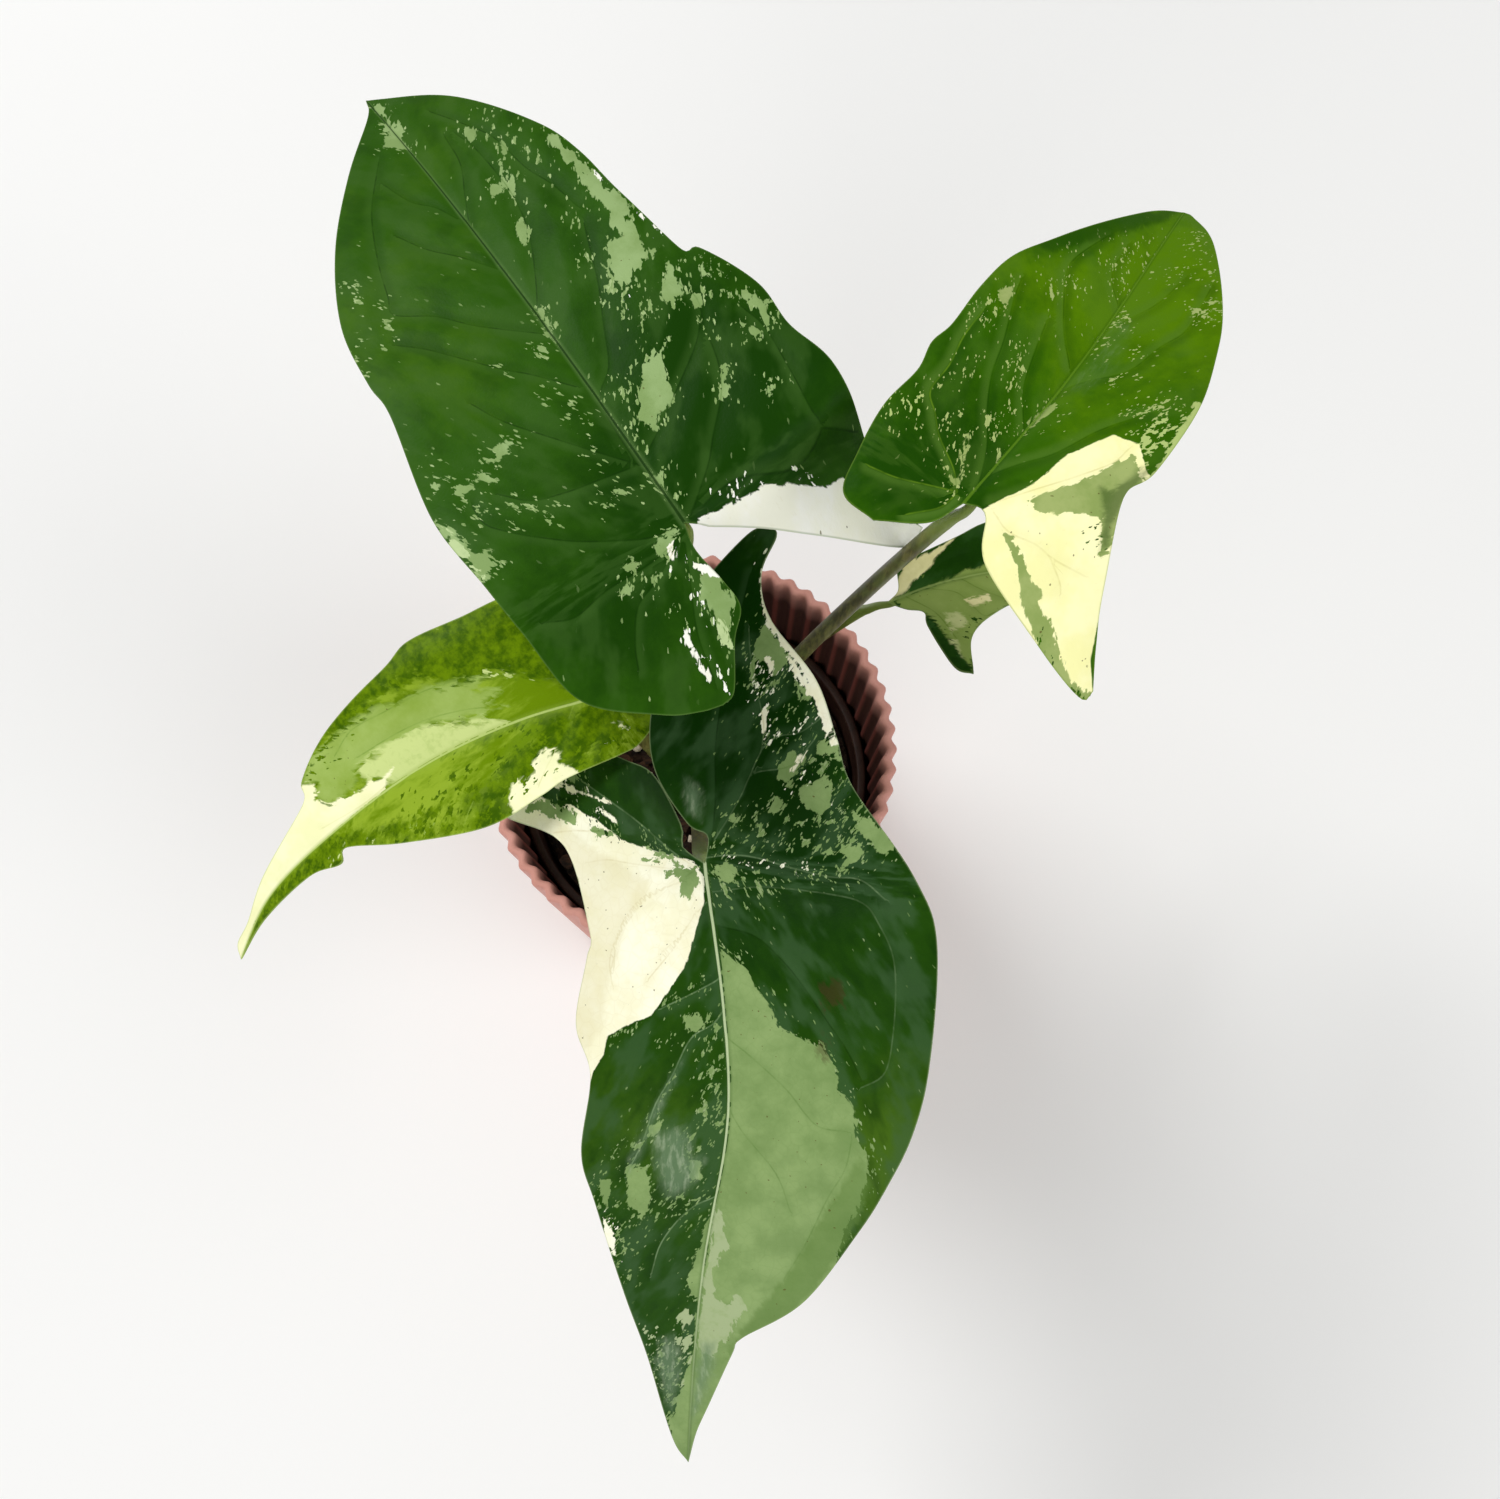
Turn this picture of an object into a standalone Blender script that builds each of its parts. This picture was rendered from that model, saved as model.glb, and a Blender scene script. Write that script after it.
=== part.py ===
# Arrowhead plant with variegated leaves, in a nursery pot inside a fluted cover pot.
# Sizes below are in millimetres and turn into Blender's metres where a mesh is made.
# The origin is the middle of the cover pot's base, +Z is up, and the front leaf points to -Y.

import math

import bmesh
import bpy
from mathutils import Vector

MM = 0.001
GAP = 0.3                    # clearance between pieces that touch
MERGE = 0.02                 # points closer than this are one
PATH_STEPS = 12              # steps between two points of a smooth path

# Cover pot
POT_HEIGHT = 110.0
POT_RIM_RADIUS = 50.0        # over the crests of the flutes
POT_FOOT_RADIUS = 43.5
POT_WALL = 2.6
POT_FLOOR = 4.0
POT_LIP = 1.6                # rounding of the rim
LIP_INSET = 0.4              # how far a rim's flat top is set in, as a share of its rounding
FLOOR_RING = 0.35            # innermost ring of a pot's base and floor, as a share of its foot radius
FLUTES = 60
FLUTE_DEPTH = 1.2            # crest to valley

# Nursery pot, its rim 30 mm below the cover pot's
NURSERY_RIM_Z = 80.0
NURSERY_RIM_RADIUS = 44.1
NURSERY_FOOT_RADIUS = 35.0
NURSERY_WALL = 1.2
NURSERY_FLOOR = 1.6
NURSERY_LIP = 0.8
NURSERY_RIM_BAND = 4.0       # height of the thicker band round the rim
NURSERY_RIM_EXTRA = 0.7      # how far that band stands out
NURSERY_BAND_EDGE = 0.6      # chamfer along both edges of that band
DRAIN_HOLES = 6
DRAIN_RADIUS = 4.0
DRAIN_SIDES = 12
DRAIN_RING = 23.0
DRAIN_TURN = 25.0            # the first hole, in degrees from +X

# Soil and the crown that stands in its hole
SOIL_TOP = 73.0
SOIL_EDGE = 1.0              # how far the soil's top drops at the pot and at the crown
SOIL_FOOT_EDGE = 3.0         # bevel round the soil's foot
SOIL_RINGS = (0.93, 0.7, 0.47, 0.24)   # rings of its top, from 0 at the crown to 1 at the pot
SOIL_LUMP = 0.96
SOIL_WAVES = [(0.55, 0.62, 0.5), (0.55, -0.62, 0.5), (1.3, -0.9, 0.6)]   # radians per mm, share of a lump
CROWN_RADIUS = 8.5
CROWN_FOOT_Z = 58.0
CROWN_TOP_Z = 87.0
CROWN_FOOT_EDGE = 2.0
CROWN_TOP_EDGE = 1.0
CROWN_SHEATHS = 5
CROWN_RIB_DEPTH = 1.0
CROWN_SIDES = 20
CROWN_FOOT_RING = 4.6        # the stalks stand in a ring on the crown
ROUND_SIDES = 48

# Leaf blades and stalks
BLADE_THICKNESS = 0.8
ROW_STEP = 6.0               # about this far between rows along the blade
COLUMN_STEP = 6.0            # and between columns from the midrib to the margin
MIDRIB_ROUNDING = 4.0
FOLD_START = 4.0             # a fold sets in over this distance from the midrib
STALK_FOOT_RADIUS = 2.4
STALK_TOP_RADIUS = 1.5
STALK_POINTS = 16
STALK_SIDES = 8
STALK_BEND = 5.0             # last stretch, which meets the blade square on

# Colours in linear light
DUSTY_PINK = (0.60, 0.29, 0.24)
DULL_BROWN = (0.07, 0.045, 0.035)
DARK_MIX = (0.022, 0.017, 0.012)
OLIVE = (0.17, 0.15, 0.07)
LEAF_GREENS = {
    "leaf_upper_left": (0.05, 0.13, 0.02),
    "leaf_right": (0.08, 0.20, 0.005),
    "leaf_front": (0.04, 0.10, 0.02),
    "leaf_left": (0.22, 0.32, 0.03),
    "leaf_small": (0.06, 0.12, 0.02),
}

# Each blade lies in its own frame: the stalk meets it at (0, 0), y runs to the tip, x to its right.
# heading turns it about Z from +X, pitch lowers the tip, roll lowers its right side, in degrees.
# midrib lists the points that the midrib bends through between the stalk and the tip.
# The outlines start after the tip (outer) or the stalk (inner) and end at the lobe's tip. A shoulder
# is the outline's point that the blade's row through the stalk runs to.
# arch, back, vee and curl shape the height: an arch along the midrib, lobes that droop behind the
# stalk, sides that rise from the midrib and margins that roll down again. Waves are amplitude,
# length and phase. Folds are the half (1 right, -1 left), a point, the way the blade falls, its
# slope and how soft the fold is.
# foot is where the stalk leaves the crown, in degrees from +X, and stalk is its route, both in the
# plant's own frame.
LEAVES = {
    "leaf_upper_left": {
        "seat": (3, 6, 242), "heading": 124, "pitch": 8, "roll": 0, "length": 114,
        "arch": 7, "back": 35, "vee": 0.10, "curl": 0.0020, "half_width": 38,
        "waves": [(1.0, 40, 0.5)],
        "folds": [(1, 4, 0, -85, 2.0, 2)],
        "midrib": [],
        "right_shoulder": (38, 10), "left_shoulder": (-34, -2),
        "right_outer": [(13, 102), (22, 84), (25, 73), (26, 60), (28, 43), (31, 41), (36, 30),
                        (36, 20), (38, 10), (37, -4), (39, -8), (43, -11)],
        "right_inner": [(3, -1), (13, -4), (22, -7), (38, -12), (43, -11)],
        "left_outer": [(-2, 109), (-12, 97), (-23, 81), (-30, 66), (-32, 52), (-32, 44), (-36, 24),
                       (-35, 8), (-34, -2), (-32, -16), (-22, -25), (-16, -28), (-12, -29)],
        "left_inner": [(-1, -5), (0, -12), (0, -17), (-4, -21), (-9, -28), (-12, -29)],
        "foot": 126, "stalk": [(-2, 5, 130), (0, 6, 180), (1, 6, 215)],
    },
    "leaf_right": {
        "seat": (51, 8, 246), "heading": 55, "pitch": 10, "roll": 0, "length": 79,
        "arch": 5, "back": 20, "vee": 0.16, "curl": 0.0030, "half_width": 26,
        "waves": [(0.8, 30, 0.5)],
        "folds": [(1, 3, 1, -50, 0.5, 4)],
        "midrib": [(2, 24), (2, 46)],
        "right_shoulder": (22, 16), "left_shoulder": (-20, -3),
        "right_outer": [(2, 79), (8, 75), (17, 60), (21, 50), (24, 37), (24, 23), (22, 16), (28, 3),
                        (32, -3), (36, -8)],
        "right_inner": [(4, 1), (9, -5), (26, -9), (35, -10), (36, -8)],
        "left_outer": [(-4, 75), (-8, 68), (-15, 54), (-19, 45), (-20, 35), (-20, 26), (-21, 21),
                       (-20, 15), (-21, 6), (-20, -3), (-18, -10), (-11, -11)],
        "left_inner": [(-3, -6), (-11, -11)],
        "foot": 342, "stalk": [(12, 4, 118), (25, 9, 155), (38, 12, 190), (47, 11, 222)],
    },
    "leaf_front": {
        "seat": (6, -46, 201), "heading": -92, "pitch": 25, "roll": 12, "length": 123,
        "arch": 10, "back": 45, "vee": 0.14, "curl": 0.0020, "half_width": 38,
        "waves": [(1.2, 44, 0.5)],
        "folds": [(1, 8, 0, -20, 0.45, 12), (-1, 0, -5, -90, -0.15, 8)],
        "midrib": [(-6, 26), (-8, 48), (-4, 78)],
        "right_shoulder": (30, 1), "left_shoulder": (-40, -1),
        "right_outer": [(3, 117), (7, 98), (11, 85), (17, 66), (20, 56), (19, 41), (23, 32), (22, 20),
                        (22, 15), (30, 1), (45, -2), (55, -4), (64, -9), (68, -13)],
        "right_inner": [(5, -2), (6, -6), (13, -14), (20, -16), (31, -18), (46, -19), (60, -18),
                        (68, -13)],
        "left_outer": [(-2, 115), (-5, 107), (-10, 94), (-12, 90), (-24, 80), (-34, 64), (-39, 54),
                       (-43, 44), (-45, 32), (-45, 10), (-40, -1), (-27, -16), (-23, -25),
                       (-18, -35), (-8, -45), (-5, -53), (-7, -60), (-6, -62)],
        "left_inner": [(0, -5), (4, -7), (11, -16), (13, -26), (11, -38), (8, -48), (-1, -60),
                       (-6, -62)],
        "foot": 270, "stalk": [(2, -15, 125), (4, -32, 165), (5, -42, 188)],
    },
    "leaf_left": {
        "seat": (-15, -12, 196), "heading": -149, "pitch": 23, "roll": -8, "length": 97,
        "arch": 10, "back": 90, "vee": 0.10, "curl": 0.0030, "half_width": 28,
        "waves": [(0.8, 30, 0.5)],
        "folds": [],
        "midrib": [(5, 16), (8, 35), (8, 59), (6, 80)],
        "right_shoulder": (25, 0), "left_shoulder": (-12, 2),
        "right_outer": [(3, 95), (5, 89), (10, 79), (16, 61), (20, 58), (25, 48), (28, 31), (30, 24),
                        (28, 13), (25, 0), (14, -13), (10, -14)],
        "right_inner": [(4, -5), (10, -14)],
        "left_outer": [(3, 85), (4, 69), (2, 61), (4, 58), (-2, 47), (-9, 31), (-10, 19), (-10, 13),
                       (-12, 2), (-12, -2), (-9, -9)],
        "left_inner": [(-4, -8), (-9, -9)],
        "foot": 198, "stalk": [(-7, -4, 120), (-11, -8, 160), (-14, -11, 184)],
    },
    "leaf_small": {
        "seat": (44, 18, 165), "heading": 17, "pitch": 16, "roll": -8, "length": 47,
        "arch": 3, "back": 20, "vee": 0.30, "curl": 0.0, "half_width": 16,
        "waves": [(0.4, 16, 0.5)],
        "folds": [],
        "midrib": [(-1, 15)],
        "right_shoulder": (9, 23), "left_shoulder": (-12, 27),
        "right_outer": [(7, 33), (9, 23), (14, 13), (24, 8)],
        "right_inner": [(3, 3), (5, 6), (9, 5), (21, 5), (24, 8)],
        "left_outer": [(-7, 46), (-12, 37), (-12, 27), (-10, 19), (-8, 8), (-6, 4)],
        "left_inner": [(-2, 3), (-6, 4)],
        "foot": 54, "stalk": [(14, 13, 108), (28, 20, 128), (38, 21, 148)],
    },
}


def clear_scene():
    for item in list(bpy.data.objects):
        bpy.data.objects.remove(item, do_unlink=True)


def make_material(name, colour, roughness):
    material = bpy.data.materials.new(name)
    material.use_nodes = True
    shader = material.node_tree.nodes["Principled BSDF"]
    shader.inputs["Base Color"].default_value = (*colour, 1.0)
    shader.inputs["Roughness"].default_value = roughness
    shader.inputs["Metallic"].default_value = 0.0
    return material


def add_object(name, mesh, material):
    item = bpy.data.objects.new(name, mesh)
    bpy.context.scene.collection.objects.link(item)
    item.data.materials.append(material)
    return item


def mesh_from(name, points, faces):
    mesh = bpy.data.meshes.new(name)
    mesh.from_pydata([tuple(c * MM for c in point) for point in points], [], faces)
    return mesh


def smooth_path(points):
    # A curve that passes through every point, as (x, y) or (x, y, z) tuples
    ends = [[2 * a - b for a, b in zip(points[0], points[1])],
            [2 * a - b for a, b in zip(points[-1], points[-2])]]
    knots = [ends[0], *points, ends[1]]
    path = []
    for before, start, end, after in zip(knots, knots[1:], knots[2:], knots[3:]):
        for step in range(PATH_STEPS):
            t = step / PATH_STEPS
            path.append(tuple(
                0.5 * (2 * b + (c - a) * t + (2 * a - 5 * b + 4 * c - d) * t * t
                       + (3 * b - a - 3 * c + d) * t ** 3)
                for a, b, c, d in zip(before, start, end, after)))
    path.append(tuple(points[-1]))
    return path


def path_length(path):
    return sum(math.dist(a, b) for a, b in zip(path, path[1:]))


def spaced(path, count):
    # The same path as count + 1 points at equal steps along it
    lengths = [0.0]
    for a, b in zip(path, path[1:]):
        lengths.append(lengths[-1] + math.dist(a, b))
    result = []
    index = 0
    for step in range(count + 1):
        target = lengths[-1] * step / count
        while index < len(path) - 2 and lengths[index + 1] < target:
            index += 1
        share = (target - lengths[index]) / (lengths[index + 1] - lengths[index])
        result.append(tuple(a + (b - a) * share for a, b in zip(path[index], path[index + 1])))
    return result


def pot_profile(foot, rim, height, wall, floor, lip, base_z):
    # Outside from the middle of the base, over the rounded rim and back to the middle of the floor
    slope = (rim - foot) / height
    inner_rim = rim - wall
    middle = height / 2
    profile = [(foot * FLOOR_RING, 0.0), (foot - lip, 0.0), (foot + slope * lip, lip)]
    profile.append((foot + slope * middle, middle))
    profile.append((rim, height - lip))
    profile.append((rim - lip * LIP_INSET, height))
    profile.append((inner_rim + lip * LIP_INSET, height))
    profile.append((inner_rim, height - lip))
    profile.append((inner_rim - slope * middle, middle))
    profile.append((foot - wall + slope * floor, floor + lip))
    profile.append((foot - wall - lip, floor))
    profile.append((foot * FLOOR_RING, floor))
    return [(radius, z + base_z) for radius, z in profile]


def turned(name, profile, sides, material, flutes=0, flute_depth=0.0, flat_rings=()):
    # A closed turned solid. Its profile starts and ends near the axis, where a middle point closes it.
    points = []
    for index, (radius, z) in enumerate(profile):
        depth = 0.0 if index in flat_rings else flute_depth / 2
        for side in range(sides):
            turn = 2 * math.pi * side / sides
            reach = radius + depth * (math.cos(flutes * turn) - 1.0)
            points.append((reach * math.cos(turn), reach * math.sin(turn), z))
    faces = []
    for ring in range(len(profile) - 1):
        for side in range(sides):
            nxt = (side + 1) % sides
            a, b = ring * sides + side, ring * sides + nxt
            faces.append((a, b, b + sides, a + sides))
    bottom = len(points)
    points.append((0.0, 0.0, profile[0][1]))
    points.append((0.0, 0.0, profile[-1][1]))
    last = (len(profile) - 1) * sides
    for side in range(sides):
        nxt = (side + 1) % sides
        faces.append((bottom, nxt, side))
        faces.append((bottom + 1, last + side, last + nxt))
    return add_object(name, mesh_from(name, points, faces), material)


def cover_pot():
    material = make_material("dusty pink plastic", DUSTY_PINK, 0.6)
    profile = pot_profile(POT_FOOT_RADIUS, POT_RIM_RADIUS, POT_HEIGHT, POT_WALL, POT_FLOOR, POT_LIP, 0.0)
    ends = (0, len(profile) - 1)
    return turned("outer_pot", profile, 2 * FLUTES, material, FLUTES, FLUTE_DEPTH, ends)


def nursery_pot():
    material = make_material("dull brown plastic", DULL_BROWN, 0.55)
    base = POT_FLOOR + GAP
    height = NURSERY_RIM_Z - base
    rim = NURSERY_RIM_RADIUS - NURSERY_RIM_EXTRA
    profile = pot_profile(NURSERY_FOOT_RADIUS, rim, height, NURSERY_WALL, NURSERY_FLOOR, NURSERY_LIP, base)
    band_z = NURSERY_RIM_Z - NURSERY_RIM_BAND
    at_band = rim - (rim - NURSERY_FOOT_RADIUS) / height * NURSERY_RIM_BAND
    band = [(at_band, band_z), (NURSERY_RIM_RADIUS, band_z + NURSERY_BAND_EDGE)]
    band.append((NURSERY_RIM_RADIUS, NURSERY_RIM_Z - NURSERY_BAND_EDGE))
    rim_ring = [z for radius, z in profile].index(NURSERY_RIM_Z - NURSERY_LIP)
    profile[rim_ring:rim_ring + 1] = band
    pot = turned("inner_pot", profile, ROUND_SIDES, material)
    for hole in range(DRAIN_HOLES):
        turn = 2 * math.pi * hole / DRAIN_HOLES + math.radians(DRAIN_TURN)
        drill(pot, turn, base + NURSERY_FLOOR / 2)
    return pot


def drill(pot, turn, z):
    place = (DRAIN_RING * MM * math.cos(turn), DRAIN_RING * MM * math.sin(turn), z * MM)
    bpy.ops.mesh.primitive_cylinder_add(vertices=DRAIN_SIDES, radius=DRAIN_RADIUS * MM,
                                        depth=4 * NURSERY_FLOOR * MM, location=place)
    cutter = bpy.context.object
    cut = pot.modifiers.new("drain", "BOOLEAN")
    cut.operation = "DIFFERENCE"
    cut.solver = "EXACT"
    cut.object = cutter
    bpy.context.view_layer.objects.active = pot
    bpy.ops.object.modifier_apply(modifier=cut.name)
    bpy.data.objects.remove(cutter, do_unlink=True)


def nursery_inner_radius(z):
    base = POT_FLOOR + GAP
    slope = (NURSERY_RIM_RADIUS - NURSERY_RIM_EXTRA - NURSERY_FOOT_RADIUS) / (NURSERY_RIM_Z - base)
    return NURSERY_FOOT_RADIUS + slope * (z - base) - NURSERY_WALL


def potting_soil():
    material = make_material("dark potting mix", DARK_MIX, 0.95)
    bottom = POT_FLOOR + GAP + NURSERY_FLOOR + GAP
    foot = nursery_inner_radius(bottom) - SOIL_FOOT_EDGE
    wall_z = bottom + SOIL_FOOT_EDGE
    hole = CROWN_RADIUS + GAP
    edge = nursery_inner_radius(SOIL_TOP) - 2 * GAP
    rings = [(foot * FLOOR_RING, bottom), (foot, bottom), (nursery_inner_radius(wall_z) - 2 * GAP, wall_z)]
    rings.append((edge, SOIL_TOP - SOIL_EDGE))
    rings += [(hole + (edge - hole) * share, SOIL_TOP) for share in SOIL_RINGS]
    rings += [(hole, SOIL_TOP - SOIL_EDGE), (hole, CROWN_FOOT_Z - GAP)]
    soil = turned("soil", rings, ROUND_SIDES, material)
    for vertex in soil.data.vertices:
        x, y, z = vertex.co / MM
        if abs(z - SOIL_TOP) < MERGE:
            lump = sum(share * math.sin(by_x * x + by_y * y) for by_x, by_y, share in SOIL_WAVES)
            vertex.co.z += SOIL_LUMP * MM * lump
    return soil


def crown():
    # The short main stem, ribbed by the sheaths of the leaf stalks that clasp it
    material = make_material("olive stem", OLIVE, 0.5)
    rings = [(CROWN_RADIUS / 2, CROWN_FOOT_Z), (CROWN_RADIUS, CROWN_FOOT_Z + CROWN_FOOT_EDGE)]
    rings += [(CROWN_RADIUS, CROWN_TOP_Z - CROWN_TOP_EDGE), (CROWN_RADIUS - CROWN_TOP_EDGE, CROWN_TOP_Z)]
    return turned("stem_crown", rings, CROWN_SIDES, material, CROWN_SHEATHS, CROWN_RIB_DEPTH)


def leaf_axes(leaf):
    heading, pitch, roll = (math.radians(leaf[key]) for key in ("heading", "pitch", "roll"))
    ahead = Vector((math.cos(heading), math.sin(heading), 0.0))
    along = ahead * math.cos(pitch) - Vector((0.0, 0.0, math.sin(pitch)))
    level = Vector((math.sin(heading), -math.cos(heading), 0.0))
    normal = level.cross(along)
    right = level * math.cos(roll) - normal * math.sin(roll)
    up = normal * math.cos(roll) + level * math.sin(roll)
    return right, along, up


def midrib_path(leaf):
    return smooth_path([(0, 0), *leaf["midrib"], (0, leaf["length"])])


def midrib_x(path, y):
    if y <= 0:
        return 0.0
    for (x0, y0), (x1, y1) in zip(path, path[1:]):
        if y <= y1:
            return x0 + (x1 - x0) * (y - y0) / (y1 - y0)
    return path[-1][0]


def blade_height(leaf, path, x, y, half):
    share = y / leaf["length"]
    if y > leaf["length"]:
        height = -4 * leaf["arch"] * (share - 1)
    elif y > 0:
        height = 4 * leaf["arch"] * share * (1 - share)
    else:
        height = 4 * leaf["arch"] * share - leaf["back"] * share * share
    across = x - midrib_x(path, y)
    height += leaf["vee"] * (math.hypot(across, MIDRIB_ROUNDING) - MIDRIB_ROUNDING)
    height -= leaf["curl"] * across * across
    near_margin = min(1.0, abs(x) / leaf["half_width"]) ** 2
    for amplitude, length, phase in leaf["waves"]:
        height += amplitude * near_margin * math.sin(2 * math.pi * y / length + phase)
    for fold_half, fold_x, fold_y, falls, slope, soft in leaf["folds"]:
        if fold_half == half:
            turn = math.radians(falls)
            past = (x - fold_x) * math.cos(turn) + (y - fold_y) * math.sin(turn)
            fade = min(1.0, math.hypot(max(0.0, half * across), max(0.0, -y)) / FOLD_START)
            height -= slope * fade * (past + math.hypot(past, soft)) / 2
    return height


def half_rows(leaf, path, half):
    # Rows of points from the midrib, and behind the stalk from the sinus, out to the margin
    side = "right" if half == 1 else "left"
    outer_points = [(0, leaf["length"]), *leaf[side + "_outer"]]
    outer = smooth_path(outer_points)
    shoulder = outer_points.index(leaf[side + "_shoulder"]) * PATH_STEPS
    front_rows = round(leaf["length"] / ROW_STEP)
    lobe_rows = max(2, round(path_length(outer[shoulder:]) / ROW_STEP))
    columns = round(leaf["half_width"] / COLUMN_STEP)
    front = spaced(outer[:shoulder + 1], front_rows)
    back = spaced(outer[shoulder:], lobe_rows)
    inner = spaced(smooth_path([(0, 0), *leaf[side + "_inner"]]), lobe_rows)
    spine = []
    for row in range(front_rows + 1):
        y = leaf["length"] * (1 - row / front_rows)
        spine.append((midrib_x(path, y), y))
    rows = []
    for start, end in zip(spine + inner[1:], front + back[1:]):
        rows.append([tuple(a + (b - a) * column / columns for a, b in zip(start, end))
                     for column in range(columns + 1)])
    return rows


def leaf_blade(name, leaf, material):
    right, along, up = leaf_axes(leaf)
    seat = Vector(leaf["seat"])
    path = midrib_path(leaf)
    sheet = bmesh.new()
    for half in (1, -1):
        grid = []
        for row in half_rows(leaf, path, half):
            grid.append([sheet.verts.new(
                (seat + right * x + along * y + up * blade_height(leaf, path, x, y, half)) * MM)
                for x, y in row])
        for row, below in zip(grid, grid[1:]):
            for column in range(len(row) - 1):
                corners = [row[column], row[column + 1], below[column + 1], below[column]]
                sheet.faces.new(corners if half == -1 else corners[::-1])
    bmesh.ops.remove_doubles(sheet, verts=sheet.verts[:], dist=MERGE * MM)
    bmesh.ops.dissolve_degenerate(sheet, edges=sheet.edges[:], dist=MERGE * MM)
    bmesh.ops.triangulate(sheet, faces=sheet.faces[:])
    mesh = bpy.data.meshes.new(name)
    sheet.to_mesh(mesh)
    sheet.free()
    blade = add_object(name, mesh, material)
    wall = blade.modifiers.new("thickness", "SOLIDIFY")
    wall.thickness = BLADE_THICKNESS * MM
    wall.offset = 0.0
    return blade


def seat_dip(leaf, slope):
    # How far the blade dips below its own plane over the end of the stalk
    path = midrib_path(leaf)
    dip = 0.0
    for side in range(STALK_SIDES):
        turn = 2 * math.pi * side / STALK_SIDES
        x, y = STALK_TOP_RADIUS * math.cos(turn), STALK_TOP_RADIUS * math.sin(turn)
        for half in (1, -1):
            dip = max(dip, slope * y - blade_height(leaf, path, x, y, half))
    return dip


def leaf_stalk(name, leaf, material):
    along, up = leaf_axes(leaf)[1:]
    slope = 4 * leaf["arch"] / leaf["length"]
    out = (up - along * slope).normalized()
    top = Vector(leaf["seat"]) - out * (BLADE_THICKNESS / 2 + GAP + seat_dip(leaf, slope))
    turn = math.radians(leaf["foot"])
    foot = (CROWN_FOOT_RING * math.cos(turn), CROWN_FOOT_RING * math.sin(turn), CROWN_TOP_Z + GAP)
    route = [(foot[0], foot[1], foot[2] + STALK_FOOT_RADIUS), *leaf["stalk"], tuple(top - out * STALK_BEND)]
    points = [foot, *spaced(smooth_path(route), STALK_POINTS), tuple(top)]
    curve = bpy.data.curves.new(name, "CURVE")
    curve.dimensions = "3D"
    curve.bevel_depth = MM
    curve.bevel_resolution = STALK_SIDES // 2 - 2
    curve.use_fill_caps = True
    spline = curve.splines.new("POLY")
    spline.points.add(len(points) - 1)
    for index, point in enumerate(points):
        share = index / (len(points) - 1)
        spline.points[index].co = (*(c * MM for c in point), 1.0)
        spline.points[index].radius = STALK_FOOT_RADIUS + (STALK_TOP_RADIUS - STALK_FOOT_RADIUS) * share
    return add_object(name, curve, material)


def build():
    clear_scene()
    cover_pot()
    nursery_pot()
    potting_soil()
    crown()
    stalk_green = make_material("olive stalk", OLIVE, 0.45)
    for name, leaf in LEAVES.items():
        leaf_blade(name, leaf, make_material(name + " green", LEAF_GREENS[name], 0.35))
        leaf_stalk(name.replace("leaf", "stalk"), leaf, stalk_green)


build()
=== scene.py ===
# %% [markdown]
# # A variegated arrowhead plant in its two pots
# The plant's sizes come from its CAD model, which is loaded here as a fixed frame. This lesson gives
# each piece its fine form and its finish: waved leaves with veins and cream patches, streaked stalks,
# crumbly soil and a fluted pink cover pot. Everything is made from primitives, formulas and nodes.

# %% Load the fixed frame
import math

import bpy
import numpy as np
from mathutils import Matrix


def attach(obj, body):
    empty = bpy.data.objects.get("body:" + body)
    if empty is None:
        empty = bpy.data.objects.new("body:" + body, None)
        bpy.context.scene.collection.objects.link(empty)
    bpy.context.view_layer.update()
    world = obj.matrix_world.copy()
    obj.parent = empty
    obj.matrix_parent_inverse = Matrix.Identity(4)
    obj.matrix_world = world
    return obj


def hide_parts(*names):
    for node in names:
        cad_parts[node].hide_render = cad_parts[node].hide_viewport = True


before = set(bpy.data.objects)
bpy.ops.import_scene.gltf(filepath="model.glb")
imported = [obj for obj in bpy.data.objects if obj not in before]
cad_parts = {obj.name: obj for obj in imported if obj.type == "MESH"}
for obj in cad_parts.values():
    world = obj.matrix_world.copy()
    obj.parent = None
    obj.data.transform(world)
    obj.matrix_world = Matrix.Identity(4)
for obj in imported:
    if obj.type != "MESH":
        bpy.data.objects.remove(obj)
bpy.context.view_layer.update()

MM = 0.001

# %% [markdown]
# ## Sheets of points
# A leaf, a stalk and a pot wall are all sheets. A grid primitive gives the faces, and a formula says
# where each of its points goes. The grid is one metre wide, so a point's own x and y, plus a half,
# run from 0 to 1 and tell how far across and along the sheet it is.

# %% Helpers that make a sheet and finish it
def deselect():
    if bpy.context.object and bpy.context.object.mode != "OBJECT":
        bpy.ops.object.mode_set(mode="OBJECT")
    bpy.ops.object.select_all(action="DESELECT")


def get_points(item):
    flat = np.zeros(len(item.data.vertices) * 3)
    item.data.vertices.foreach_get("co", flat)
    return flat.reshape(-1, 3)


def set_points(item, points):
    item.data.vertices.foreach_set("co", np.ascontiguousarray(points, float).ravel())
    item.data.update()


def store(item, name, values, kind="FLOAT"):
    layer = item.data.attributes.get(name) or item.data.attributes.new(name, kind, "POINT")
    key = "value" if kind == "FLOAT" else "vector"
    layer.data.foreach_set(key, np.ascontiguousarray(values, float).ravel())


def recall(item, name, width=1):
    flat = np.zeros(len(item.data.vertices) * width)
    item.data.attributes[name].data.foreach_get("value" if width == 1 else "vector", flat)
    return flat if width == 1 else flat.reshape(-1, width)


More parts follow.
